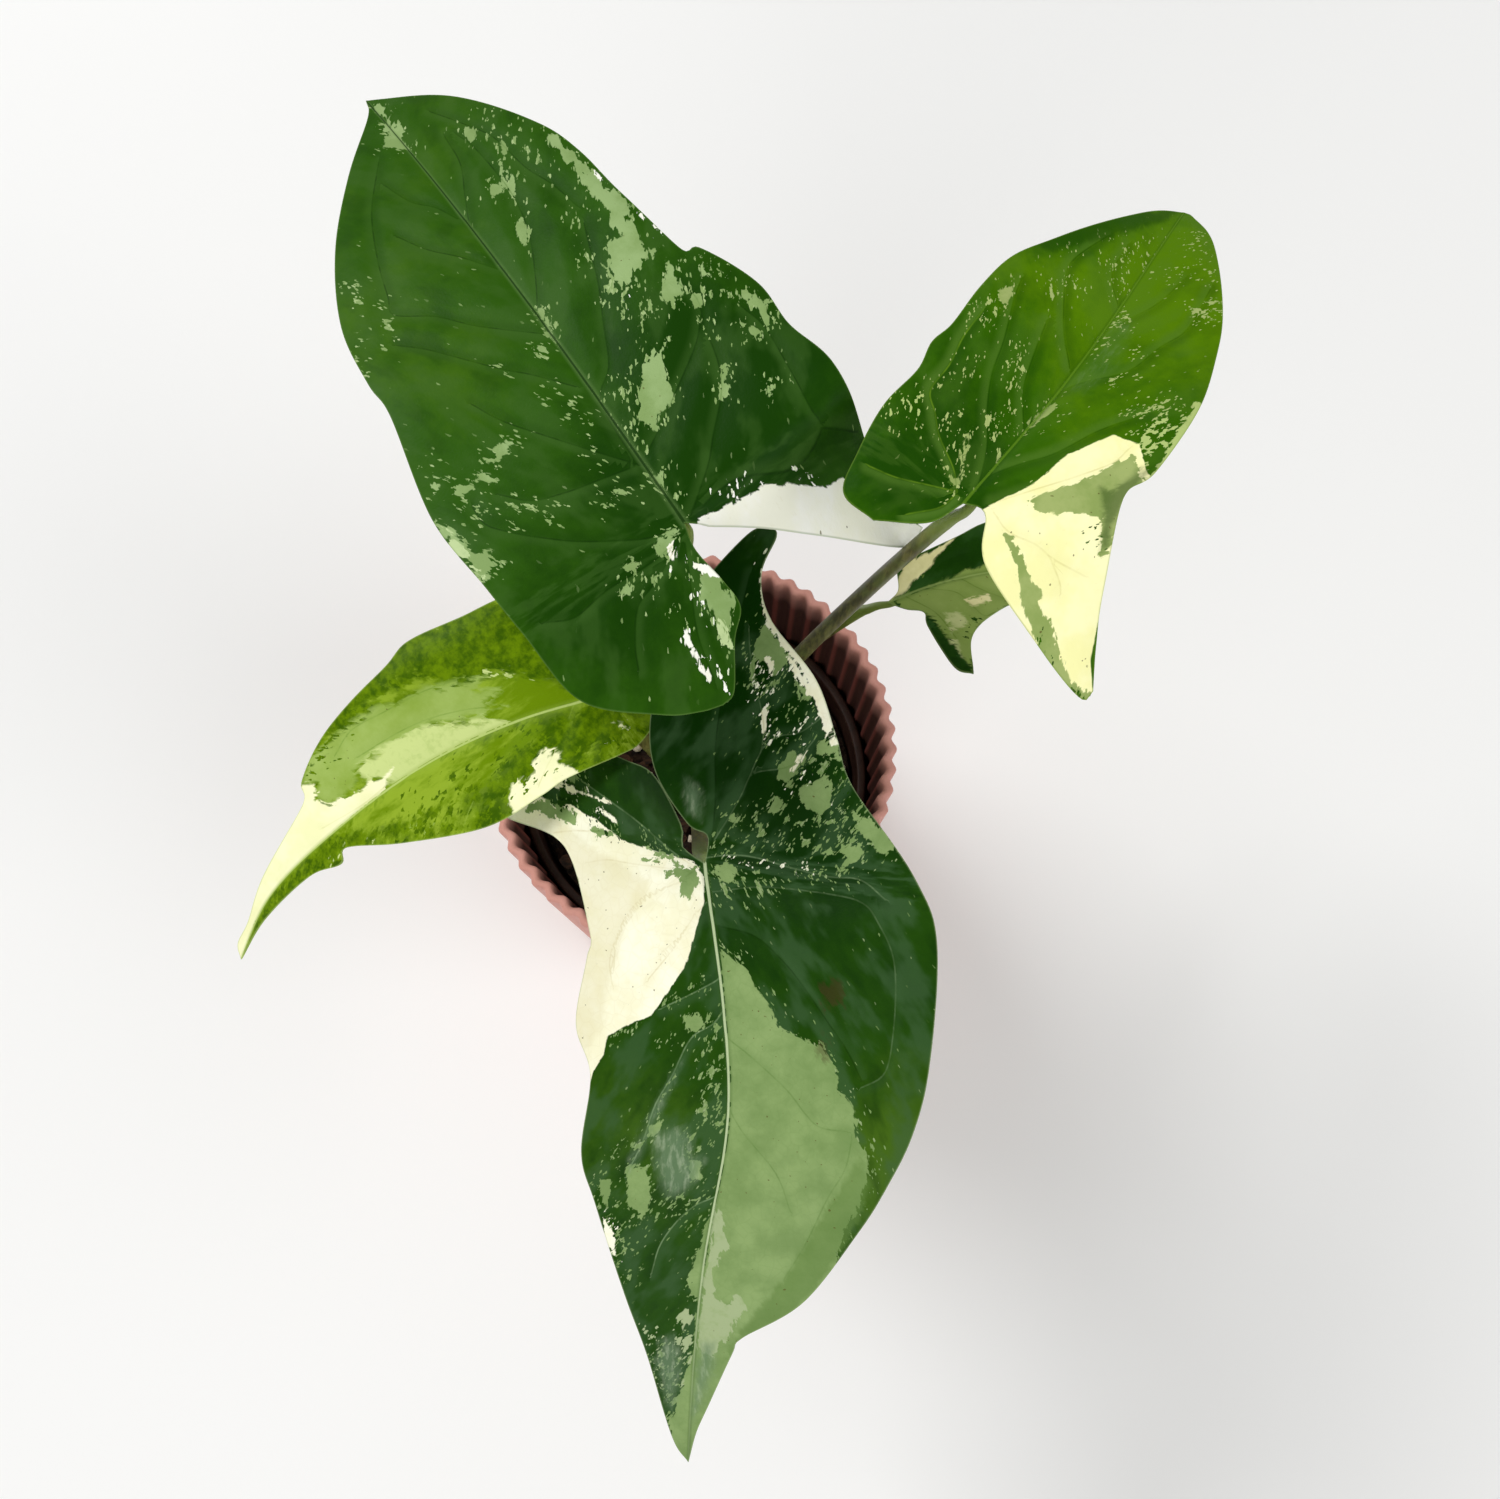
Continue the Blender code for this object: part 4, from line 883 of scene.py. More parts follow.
def blade_facts(name, leaf, lay):
    # Everything that the relief and the finish need to know at each point of the leaf
    spots, half = lay[:, :2], lay[:, 2]

    def everywhere(value):
        return np.full(len(spots), value)

    facts = {"vein_away": everywhere(FAR), "vein_side": everywhere(FAR), "vein_power": everywhere(1.0),
             "rim": everywhere(FAR), "tone": everywhere(0.0)}
    facts["rib"], facts["rib_side"] = path_distance(spots, midrib_path(leaf))
    facts["rib_width"] = RIB_WIDTHS[name] * (1 - 0.6 * tip_share(leaf, lay[:, 1]))
    for vein_half, points, power in VEINS[name]:
        away, side = path_distance(spots, smooth_path(points, 5))
        closer = (away < facts["vein_away"]) & ((vein_half == 0) | (half == vein_half))
        facts["vein_away"][closer] = away[closer]
        facts["vein_side"][closer] = side[closer]
        facts["vein_power"][closer] = power
    for side in (1, -1):
        outer, shoulder, inner = half_border(leaf, side)
        for path in (outer[::3], inner[::3]):
            away = np.where(half == side, path_distance(spots, path)[0], FAR)
            facts["rim"] = np.minimum(facts["rim"], away)
    for kind in PATCH_KINDS:
        facts[kind] = everywhere(OUTSIDE)
    for (kind, patch_half), outlines in PATCHES[name].items():
        here = (patch_half == 0) | (half == patch_half)
        for outline in outlines:
            inside = np.where(here, patch_distance(spots, outline), OUTSIDE)
            facts[kind] = np.maximum(facts[kind], inside)
    for kind in FLECK_KINDS:
        facts["fleck_" + kind] = everywhere(0.0)
    for (kind, cloud_half), bands in CLOUDS[name].items():
        for x0, y0, x1, y1, radius, density in bands:
            away = path_distance(spots, np.array([(x0, y0), (x1, y1)], float))[0]
            here = np.where(half == cloud_half, density * bell(away, radius), 0.0)
            facts["fleck_" + kind] = np.maximum(facts["fleck_" + kind], here)
    for kind, share in (("sage", 1.0), ("cream", 0.5)):
        near = EDGE_FLECKS[name] * share * bell(np.minimum(0.0, facts[kind]), 2.0) * (facts[kind] > -8.0)
        facts["fleck_" + kind] = np.maximum(facts["fleck_" + kind], near)
    for x, y, radius, amount in TONES[name]:
        facts["tone"] += amount * bell(np.hypot(spots[:, 0] - x, spots[:, 1] - y), radius)
    return facts


def relief(leaf, facts, lay):
    # Grooves over the veins and a swelling between them, in millimetres, flat over the stalk's end
    groove = RIB_GROOVE * (1 - 0.7 * tip_share(leaf, lay[:, 1])) * bell(facts["rib"], 1.0)
    groove += VEIN_GROOVE * np.abs(facts["vein_power"]) * bell(facts["vein_away"], 1.1)
    nearest = np.minimum(facts["vein_away"], facts["rib"])
    swell = SWELLING * (1 - bell(nearest, 4.0)) * unit(facts["rim"] / 5.0)
    return (swell - groove) * (1 - bell(np.hypot(lay[:, 0], lay[:, 1]), 4.0))


def grain_space(leaf, lay):
    # Across and along the side veins, so that flecks can be drawn out the way that the leaf grows
    x, y, half = lay.T
    out = half * (x - midrib_x(leaf, y))
    back = np.abs(y)
    return np.column_stack([0.86 * out - 0.5 * back, 0.5 * out + 0.86 * back,
                            np.where(half < 0, 40.0, 0.0) + 3.0 * np.tanh(y / 3.0)])


def blade(name, leaf):
    sheets = [half_sheet(name + "_half", leaf, half, CELLS[name]) for half in (1, -1)]
    item = merge_points(join(sheets, name + "_blade"))
    lay = recall(item, "lay", 3)
    facts = blade_facts(name, leaf, lay)
    height = blade_height(leaf, *lay.T) + relief(leaf, facts, lay)
    set_points(item, in_plant(leaf, lay[:, 0], lay[:, 1], height) * MM)
    for key, values in facts.items():
        store(item, key, values)
    store(item, "grain", grain_space(leaf, lay), "FLOAT_VECTOR")
    group = item.vertex_groups.new(name="wall")
    wall = np.round(unit(facts["rim"] / MARGIN_WIDTH), 1)
    for share in np.unique(wall):
        group.add(np.flatnonzero(wall == share).tolist(), float(share), "REPLACE")
    modify(item, "SOLIDIFY", thickness=THICKNESS * MM, offset=0.0, vertex_group="wall",
           thickness_vertex_group=MARGIN_THICKNESS)
    item.vertex_groups.clear()
    return item


probe = half_sheet("probe", LEAVES["leaf_small"], 1, 1.0)
print("a half of the small leaf at 1 mm has", len(probe.data.vertices), "points")
bpy.data.objects.remove(probe, do_unlink=True)

# %% Build the five blades and raise the ribs below
def raise_ribs(item, leaf):
    # The lower face is told by its height below the middle of the wall
    lay = recall(item, "lay", 3)
    facts = {key: recall(item, key) for key in ("rib", "vein_away", "vein_power", "rim")}
    up = leaf_axes(leaf)[2]
    points = get_points(item) / MM
    height = (points - np.array(leaf["seat"])) @ up
    under = height < blade_height(leaf, *lay.T) + relief(leaf, facts, lay)
    size = 1.0 - 0.75 * tip_share(leaf, lay[:, 1])
    off_seat = unit(np.hypot(lay[:, 0], lay[:, 1]) / 6 - 0.5)
    ridge = RIB_RIDGE * bell(facts["rib"], 1.5 * size) * (lay[:, 1] > 2.5)
    ridge += VEIN_RIDGE * bell(facts["vein_away"], 0.7) * off_seat
    points -= np.outer(under * ridge * size * unit(facts["rim"] / 3.0), up)
    set_points(item, points * MM)
    store(item, "under", under.astype(float))


BLADES = {}
for name, leaf in LEAVES.items():
    BLADES[name] = blade(name, leaf)
    raise_ribs(BLADES[name], leaf)
    smooth(BLADES[name], 50)
    print(name, len(BLADES[name].data.polygons), "faces")

# %% [markdown]
# ## The finish of a leaf
# A variegated leaf is plain green tissue with whole sectors that have lost their green. Where both
# layers of the blade lost it, the patch is cream. Where only one did, it is grey-green, here called
# sage. The edges are torn along the grain of the veins, and clouds of flecks fade out from them.
# The shader starts from the greens, lays the flecks and patches over each other in order, paints
# the reflections of the light as sheen, and adds the veins with painted light and shade beside
# them, the thin pale margin, partly a painted highlight, and the paler underside. The gloss is
# low, with a waxy sheen.

# %% Leaf materials
FLECK_EDGE = 0.004           # how softly a fleck ends
SPECKS, GLINT, SCAR = screen(92, 84, 40), screen(186, 200, 168), screen(70, 48, 30)


def leaf_finish(name, palette, flecks=0.002, tear=1.0, soft=0.12, grit=1.0, camouflage=0.35, blur=0.08,
                mottle=0.3, net=0.0, painted_vein_shading=0.5, blotchy=0.0, rib_share=0.9, painted_sheen_share=0.75,
                rib_fades=(900.0, 999.0)):
    c = {key: screen(*reading) for key, reading in palette.items()}
    p = Paint(name, Specular_IOR_Level=0.05)
    lay = p.attribute("lay", "Vector")
    grain = p.attribute("grain", "Vector")
    shards = p.mosaic(grain, (0.6 * grit, 0.28 * grit, 1.0), 0.45)
    bits = p.mosaic(grain, (1.5 * grit, 0.6 * grit, 1.0), 0.6)
    crumbs = p.mosaic(grain, (3.4 * grit, 1.3 * grit, 1.0), 0.5)
    nibble = (p.noise(grain, (4.5 * grit, 2.2 * grit, 1.0), 3.0, 0.7) - 0.5) * 0.5
    fine = p.noise(grain, (1.7, 0.8, 1.0), 4.0, 0.65)
    coarse = p.noise(grain, (0.4, 0.2, 1.0), 3.0, 0.6)
    gather = p.noise(grain, (0.75, 0.4, 1.0), 2.0, 0.5)
    torn = ((shards[0] - 0.5) * 1.8 + (bits[0] - 0.5) * 1.0 + (coarse - 0.5) * 4.5) * tear
    # Plain tissue: a broad change of tone, partly painted sheen, with soft camouflage patches over it
    cloud = p.noise(lay, 0.055, 3.0, 0.55)
    camo = p.noise(grain, (0.17, 0.08, 1.0), 3.0, 0.5)
    small = p.noise(lay, 0.5, 4.0, 0.6)
    blotch = p.noise(grain, (0.26, 0.15, 1.0), 5.0, 0.68)
    tone = p.attribute("tone") + (blotch - 0.5) * blotchy + (cloud - 0.5) * 0.8
    tone = tone + (small - 0.5) * mottle + 0.5
    colour = p.mix(c["deep"], c["green"], p.fade(tone, 0.0, 0.55))
    colour = p.mix(colour, c["bright"], p.fade(tone, 0.5, 1.15))
    colour = p.mix(colour, c["misty"], p.fade(camo, 0.46, 0.62) * camouflage)
    colour = p.mix(colour, c["deep"], p.fade(camo, 0.46, 0.32) * camouflage)
    # Veins in the green: a pale line where the vein is pale, and a dark line of painted shade in the vein's
    # groove, with a painted highlight on one shoulder and painted shade on the other, as if light fell
    # across the groove
    power = p.attribute("vein_power")
    side = p.attribute("vein_side")
    away = p.attribute("vein_away")
    line = (1.0 - p.fade(abs(side), 0.04, 0.24)) * (1.0 - p.fade(away, 0.7, 1.0))
    line = line * (0.45 + 0.55 * p.fade(coarse, 0.42, 0.58))
    halo = 1.0 - p.fade(away, 0.2, 2.0)
    near = (1.0 - p.fade(away, 0.6, 2.2)) * abs(power) * painted_vein_shading
    colour = p.mix(colour, c["misty"], near * p.fade(side, 0.0, 0.4))
    colour = p.mix(colour, c["deep"], near * p.fade(side, 0.0, -0.4) * 0.8)
    colour = p.mix(colour, c["vein"], line * p.top(power, 0.0))
    colour = p.mix(colour, c["painted_furrow_shade"], line * p.top(-power, 0.0))

    # Flecks: small crumbs first, and larger shards where they are dense
    def sift(kind, extra, channel):
        density = p.attribute("fleck_" + kind) * p.fade(gather, 0.4, 0.62) * 1.35
        sieve = p.top(density * 0.2 + extra - crumbs[channel], (density - 0.42) * 0.5 - shards[channel])
        sieve = p.top(sieve, (density - 0.1) * 0.22 + nibble * density * 0.6 - bits[channel])
        return p.fade(sieve, -FLECK_EDGE, FLECK_EDGE)

    eaten = sift("dark", -0.01, 2)
    speckled = p.mix(c["sage"], c["pale"], p.fade(crumbs[0], 0.6, 0.9) * 0.5)
    milky = p.mix(c["cream"], c["pale"], p.fade(crumbs[0], 0.4, 0.8) * 0.6)
    colour = p.mix(colour, c["deep"], eaten)
    colour = p.mix(colour, speckled, sift("sage", flecks, 1))
    colour = p.mix(colour, c["pale"], sift("pale", -0.01, 2))
    colour = p.mix(colour, milky, sift("cream", -0.01, 2))

    # Patches, each torn along the grain
    def lay_patch(under, kind, paint, sharp=soft, ragged=0.6, share=1.0):
        return p.mix(under, paint, p.fade(p.attribute(kind) + torn * ragged, -sharp, sharp) * share)

    def speckle(first, second, noise, spread):
        # Two colours in spots, which meet softly where the spread is wide
        return p.mix(first, second, p.fade(noise, 0.5 - spread, 0.5 + spread))

    crease = line * 0.55 + halo * 0.12
    meshes = (1.0 - p.fade(p.cracks(lay, 0.45), 0.02, 0.07)) * net
    mottled = speckle(c["sage"], c["sage_two"], p.noise(lay, 0.12, 5.0, 0.6), blur * 1.5)
    mottled = p.mix(mottled, c["sage_line"], crease + p.fade(fine, 0.62, 0.78) * 0.3 + meshes)
    creamy = speckle(c["cream"], c["cream_two"], p.noise(lay, 0.09, 4.0, 0.65), 0.12)
    creamy = p.mix(creamy, c["cream_line"], crease * 0.8 + p.fade(fine, 0.58, 0.8) * 0.2 + meshes)
    murky = speckle(c["deep"], c["green"], small, blur)
    limy = p.noise(lay, (0.5, 0.16, 1.0), 4.0, 0.6) + p.attribute("tone") * 0.35
    limy = p.mix(c["green"], c["bright"], p.fade(limy, 0.36, 0.68))
    colour = lay_patch(colour, "lime", limy, ragged=0.8)
    colour = lay_patch(colour, "field", creamy, ragged=0.16)
    colour = lay_patch(colour, "sage", mottled)
    colour = lay_patch(colour, "pale", p.mix(c["pale"], c["sage_two"], p.fade(small, 0.5, 0.7) * 0.4))
    colour = lay_patch(colour, "cream", creamy, sharp=min(soft, 0.3), ragged=0.4)
    colour = p.mix(colour, murky, eaten)
    colour = lay_patch(colour, "dark", murky, ragged=1.2)
    colour = lay_patch(colour, "shade", c["shade"], sharp=0.8, ragged=0.4, share=0.6)
    colour = lay_patch(colour, "warm", c["cream_line"], sharp=1.0, ragged=0.4, share=0.35)
    # Painted reflection: over its listed patches a grey-green sheen with pale glint streaks is painted into
    # the colour, standing in for soft lights mirrored in the waxy leaf
    streak = p.fade(p.noise(lay, (1.1, 0.3, 1.0), 4.0, 0.6), 0.45, 0.7)
    silver = p.mix(c["silver"], GLINT, streak * painted_sheen_share * 0.7)
    sheen = p.fade(p.attribute("silver") + torn * 0.4, -0.8, 2.6)
    colour = p.mix(colour, silver, sheen * painted_sheen_share)
    colour = lay_patch(colour, "brown", SCAR, sharp=1.1, ragged=1.4, share=0.45)
    # Tiny brown specks, on the pale tissue alone
    dot = p.fade(p.noise(lay, 1.25, 1.0, 0.4), 0.76, 0.785)
    pale_here = p.fade(p.top(p.attribute("field"), p.attribute("sage")), 0.2, 1.0)
    colour = p.mix(colour, SPECKS, dot * pale_here * 0.8)
    # Midrib, margin and underside. The band either side of the midrib is a painted highlight on the
    # groove's sides, and on leaf_right painted shade; the dark midrib of the upper left leaf is painted
    # shade in its groove. The thin pale margin is partly the margin's own paler tissue and partly a
    # painted highlight where light catches the edge.
    width = p.attribute("rib_width")
    rib = 1.0 - p.fade(abs(p.attribute("rib_side")) / width, 0.5, 1.2)
    rib = rib * (1.0 - p.fade(p.attribute("rib"), 1.0, 1.3))
    rib = rib * (1.0 - p.fade(p.node("ShaderNodeSeparateXYZ", {}, {"Vector": lay}, 1), *rib_fades) * 0.85)
    shoulder = 1.0 - p.fade(p.attribute("rib") / width, 1.0, 4.0)
    under = p.attribute("under")
    colour = p.mix(colour, c["shoulder"], shoulder * 0.35)
    colour = p.mix(colour, c["midrib"], rib * rib_share)
    colour = p.mix(colour, c["rim"], (1.0 - p.fade(p.attribute("rim"), 0.05, 0.3)) * 0.45)
    colour = p.mix(colour, c["under"], under * 0.5)
    roughness = 0.42 + (cloud - 0.5) * 0.25 + (fine - 0.5) * 0.12 + under * 0.2
    return p.done(colour, roughness, fine * 0.5 + p.noise(lay, 2.2, 2.0, 0.5) * 0.5, 0.05)


print("the specks' brown in linear light:", [round(c, 3) for c in SPECKS])

# %% [markdown]
# A palette gives each leaf its colours, as read from a screen. All of them start from the darkest
# leaf's. Its habits say how torn, mottled or blurred its markings are.

# %% Palettes and habits
DARK_GREENS = dict(
    deep=(13, 48, 3), green=(32, 70, 6), bright=(65, 99, 21), misty=(63, 94, 57), painted_furrow_shade=(11, 36, 4),
    shade=(94, 126, 59), sage=(120, 147, 87), sage_two=(140, 165, 104), sage_line=(101, 132, 69),
    pale=(164, 180, 134), cream=(254, 253, 228), cream_two=(246, 243, 208), cream_line=(216, 206, 160),
    silver=(104, 130, 96), vein=(115, 141, 99), midrib=(190, 206, 160), shoulder=(52, 88, 29),
    rim=(150, 170, 120), under=(110, 140, 92))
PALETTES = {
    "leaf_upper_left": dict(
        deep=(21, 59, 2), green=(43, 86, 8), bright=(69, 109, 13), misty=(63, 99, 38), painted_furrow_shade=(17, 48, 4),
        sage=(132, 160, 96), sage_two=(149, 176, 115), pale=(188, 208, 150), cream=(255, 255, 246),
        cream_two=(250, 250, 232), midrib=(20, 52, 6), shoulder=(99, 132, 71), rim=(96, 128, 60)),
    "leaf_right": dict(
        deep=(25, 67, 0), green=(50, 96, 0), bright=(84, 126, 0), misty=(80, 117, 38), painted_furrow_shade=(21, 61, 0),
        shade=(27, 69, 0), sage=(162, 178, 108), sage_two=(142, 163, 90), sage_line=(112, 138, 68),
        pale=(176, 195, 118), cream=(254, 252, 196), cream_two=(249, 247, 178), cream_line=(214, 206, 132),
        silver=(74, 111, 50), vein=(99, 136, 29), midrib=(96, 136, 30), shoulder=(29, 71, 0),
        rim=(110, 140, 50)),
    "leaf_front": {},
    "leaf_left": dict(
        deep=(58, 92, 0), green=(106, 138, 4), bright=(144, 172, 44), misty=(128, 157, 42),
        painted_furrow_shade=(86, 118, 6), sage=(138, 166, 62), sage_two=(168, 192, 104), sage_line=(118, 149, 57),
        pale=(204, 219, 140), cream=(255, 254, 208), cream_two=(247, 248, 192), cream_line=(222, 222, 150),
        vein=(143, 170, 67), midrib=(186, 206, 118), shoulder=(143, 170, 57), rim=(170, 190, 110),
        under=(160, 186, 90)),
    "leaf_small": dict(
        deep=(17, 50, 2), green=(29, 67, 6), bright=(59, 97, 23), misty=(53, 88, 42), painted_furrow_shade=(13, 42, 2),
        sage=(118, 141, 62), sage_two=(143, 161, 88), sage_line=(86, 112, 38), pale=(181, 187, 128),
        cream=(224, 217, 162), cream_two=(206, 199, 140), cream_line=(170, 164, 108), vein=(118, 139, 76),
        midrib=(150, 168, 96), rim=(120, 140, 80)),
}
HABITS = {
    "leaf_upper_left": dict(tear=1.2, rib_share=0.85),
    "leaf_right": dict(grit=1.6, tear=0.65, camouflage=0.2, painted_vein_shading=0.9, blotchy=0.5, rib_share=0.6,
                       painted_sheen_share=0.3),
    "leaf_front": dict(camouflage=0.5, tear=0.8, grit=1.25, net=0.1, blur=0.12, rib_fades=(62.0, 112.0)),
    "leaf_left": dict(flecks=0.0, tear=1.1, soft=0.8, blur=0.2, mottle=1.4, blotchy=4.5),
    "leaf_small": dict(flecks=0.001, soft=0.5, blur=0.3, rib_share=0.5),
}
SLOTS = {"leaf_upper_left": "dark_leaf", "leaf_right": "bright_leaf", "leaf_front": "dark_leaf",
         "leaf_left": "lime_leaf", "leaf_small": "dark_leaf"}
for name, slot in SLOTS.items():
    finish = leaf_finish(name + "_finish", {**DARK_GREENS, **PALETTES[name]}, **HABITS[name])
    print(finish.name, "has", len(finish.node_tree.nodes), "nodes")
    finish_piece(BLADES[name], name, finish)

# %% [markdown]
# ## Leaf stalks
# A stalk grows out of the crown inside a sheath, arches up and ends under its blade, where it turns
# to face the light. It is nearly round, olive-grey, with fine streaks along it. One sheet is rolled
# round the path that the CAD stalk follows: across the sheet runs the turn and along it the length.

# %% Stalks
CROWN_FOOT_RING = 4.6
CROWN_TOP = 87.3
STALK_RADIUS = 2.3
STALK_THINS = 0.65           # once along its length, and once more at its end
SHEATH = 0.8
# A stalk's thickness, and the points where it turns in under its blade: right of the seat, along the
# midrib and out of the blade
TURN_IN = (1.0, [(0, -1.2, -5.5), (0, 0.8, -2.0)])
STALK_ENDS = {"leaf_upper_left": TURN_IN, "leaf_front": TURN_IN, "leaf_left": TURN_IN,
              "leaf_right": (0.86, [(-1.8, 0.2, -12.0), (0.3, 0.6, -5.5), (1.0, 2.4, -2.4)]),
              "leaf_small": (0.72, [(-4.3, -2.5, -10.2), (-2.1, -1.0, -5.0), (-0.5, 1.4, -2.0)])}


def rolled(name, path, radius, sides, groove=0.0):
    # A closed tube round a path, with its radius given at each share of the length
    tangent = np.gradient(path, axis=0)
    tangent /= np.linalg.norm(tangent, axis=1)[:, None]
    side = np.zeros_like(path)
    last = np.cross(tangent[0], (0.3, 0.9, 0.1))
    for index, way in enumerate(tangent):
        last = last - way * (last @ way)
        last /= np.linalg.norm(last)
        side[index] = last
    other = np.cross(tangent, side)
    shares = []

    def place(u, v):
        shares.append(v)
        row = np.rint(v * (len(path) - 1)).astype(int)
        turn = 2 * np.pi * u
        reach = radius(v, turn) * (1 - groove * np.maximum(0.0, np.cos(turn)) ** 8)
        ring = side[row] * np.cos(turn)[:, None] + other[row] * np.sin(turn)[:, None]
        return path[row] + ring * reach[:, None]

    tube = grid_sheet(name, sides, len(path) - 1, place)
    store(tube, "from_end", (1 - shares[0]) * travel(path)[-1])
    return merge_points(tube, 0.004)


def stalk(name, leaf):
    # The tube's end runs on under the midrib and thins out there, as a real stalk grows into its leaf
    right, along, up = leaf_axes(leaf)
    out = up - along * (4 * leaf["arch"] / leaf["length"])
    out /= np.linalg.norm(out)
    seat = np.array(leaf["seat"])
    foot = math.radians(leaf["foot"])
    start = np.array([CROWN_FOOT_RING * math.cos(foot), CROWN_FOOT_RING * math.sin(foot), CROWN_TOP])
    run = np.array([0.12, 0.2, 0.28]) * min(60.0, leaf["length"])
    below = blade_height(leaf, midrib_x(leaf, run), run, 1) - THICKNESS / 2 - 1.0
    under = in_plant(leaf, midrib_x(leaf, run), run, below)
    size, bends = STALK_ENDS[name]
    bends = [seat + right * x + along * y + out * z for x, y, z in bends]
    knots = [start, start + (0, 0, 2.4), *leaf["stalk"], *bends, *under]
    path = spaced(smooth_path(knots), 200)
    length = travel(path)[-1]
    turned_in = 1 - travel(smooth_path(knots[-4:]))[-1] / length

    def radius(v, turn):
        thinner = unit(v / turned_in) + unit(1 - (turned_in - v) * length / 14.0)
        sheath = SHEATH * bell(v, 0.12) * (1 + 0.25 * np.cos(turn))
        slim = 1 + (size - 1) * unit(v / 0.15)
        taper = 1 - 0.75 * unit((v - turned_in) / (1 - turned_in))
        ends = np.sqrt(unit(np.minimum(v, 1 - v) / 0.006))
        return (STALK_RADIUS - STALK_THINS * thinner + sheath) * slim * taper * ends

    return rolled(name.replace("leaf", "stalk") + "_tube", path, radius, 28, 0.08)


def stem_finish():
    p = Paint("olive_stalk_finish", Specular_IOR_Level=0.2, Coat_Roughness=0.35)
    here = p.place()
    streaks = p.noise(here, (900.0, 900.0, 70.0), 4.0, 0.65)
    blots = p.noise(here, 160.0, 3.0, 0.6)
    colour = p.mix(screen(64, 62, 20), screen(110, 108, 54), p.fade(streaks, 0.35, 0.68))
    colour = p.mix(colour, screen(80, 96, 30), p.fade(blots, 0.45, 0.7) * 0.6)
    colour = p.mix(colour, screen(58, 46, 28), p.fade(p.noise(here, 900.0, 2.0, 0.5), 0.66, 0.72) * 0.6)
    colour = p.mix(colour, screen(116, 136, 56), p.fade(p.attribute("from_end"), 42.0, 24.0) * 0.9)
    p.feed("Coat Weight", p.fade(blots, 0.4, 0.7) * 0.08)
    return p.done(colour, 0.42 + (streaks - 0.5) * 0.3, streaks, 0.15)


STEM = stem_finish()
for name, leaf in LEAVES.items():
    item = smooth(stalk(name, leaf), 60)
    finish_piece(item, name.replace("leaf", "stalk"), STEM)

# %% [markdown]
# ## The crown
# All the stalks leave one short stem. What shows of it are the sheaths: each stalk's base wraps the
# next one's. It is one rolled sheet whose radius bulges towards each stalk and steps in at the
# rings where old leaves came off.

# %% Crown
CROWN_RADIUS = 8.0
CROWN_HEIGHTS = np.linspace(58.0, 88.6, 61)


def crown_radius(v, turn):
    # The angle to each stalk is wrapped to half a turn either way
    to_stalks = [np.angle(np.exp(1j * (turn - math.radians(leaf["foot"])))) for leaf in LEAVES.values()]
    ribs = sum(bell(away, 0.42) for away in to_stalks)
    body = CROWN_RADIUS - 2.6 * v ** 2 + 0.5 * ribs * (0.3 + v)
    scars = 0.25 * np.sin(v * 29.0) * (1 - v)
    return (body + scars) * np.sqrt(unit(np.minimum(v / 0.05, (1 - v) / 0.04)))


crown_path = np.column_stack([0 * CROWN_HEIGHTS, 0 * CROWN_HEIGHTS, CROWN_HEIGHTS])
crown = smooth(rolled("crown_stem", crown_path, crown_radius, 60), 50)
finish_piece(crown, "stem_crown", STEM)

# %% [markdown]
# ## The fluted cover pot
# The cover pot is moulded plastic, dusty pink and matt. Sixty flutes run from its foot over the
# rounded rim and down the inner wall, so the wall is one wavy sheet. A profile of edges is
# extruded from one point, spun round the axis with eight steps to a flute, and each point is then
# pushed in or out by the flute's wave. Both faces move alike, so the wall stays equally thick.

# %% Spin a profile
def spun(name, profile, steps):
    # The profile is a line of points, radius and height, drawn by extruding one vertex after another
    deselect()
    bpy.ops.mesh.primitive_plane_add(size=MM, location=(0, 0, 0))
    item = bpy.context.object
    item.name = item.data.name = name
    bpy.ops.object.mode_set(mode="EDIT")
    bpy.ops.mesh.select_all(action="SELECT")
    bpy.ops.mesh.merge(type="CENTER")
    bpy.ops.transform.translate(value=(profile[0][0] * MM, 0, profile[0][1] * MM))
    for (r0, z0), (r1, z1) in zip(profile, profile[1:]):
        step = ((r1 - r0) * MM, 0, (z1 - z0) * MM)
        bpy.ops.mesh.extrude_region_move(TRANSFORM_OT_translate={"value": step})
    bpy.ops.mesh.select_all(action="SELECT")
    bpy.ops.mesh.spin(steps=steps, angle=2 * math.pi, center=(0, 0, 0), axis=(0, 0, 1))
    bpy.ops.object.mode_set(mode="OBJECT")
    return merge_points(item, 0.004)


def eased(start, end, step):
    # A straight line of points about a step apart
    line = np.array([start, end], float)
    return [tuple(spot) for spot in spaced(line, max(2, round(travel(line)[-1] / step)))]


def arc(centre, radius, start, end, count):
    turns = np.radians(np.linspace(start, end, count + 1))
    return [(centre[0] + radius * math.cos(t), centre[1] + radius * math.sin(t)) for t in turns]


sample = arc((0, 0), 1.0, 0, 90, 2)
print("a quarter turn in two steps:", [tuple(round(c, 2) for c in spot) for spot in sample])

# %% Cover pot
POT_FLUTES = 60
STEPS_PER_FLUTE = 8
FLUTE_DEPTH = 0.6
RIM_RADIUS = 50.0
FOOT_RADIUS = 43.5
POT_HEIGHT = 110.0
FLOOR = 4.0
WALL = 2.6
LIP = 1.25


def wall_radius(z):
    return FOOT_RADIUS + (RIM_RADIUS - FOOT_RADIUS) * z / POT_HEIGHT


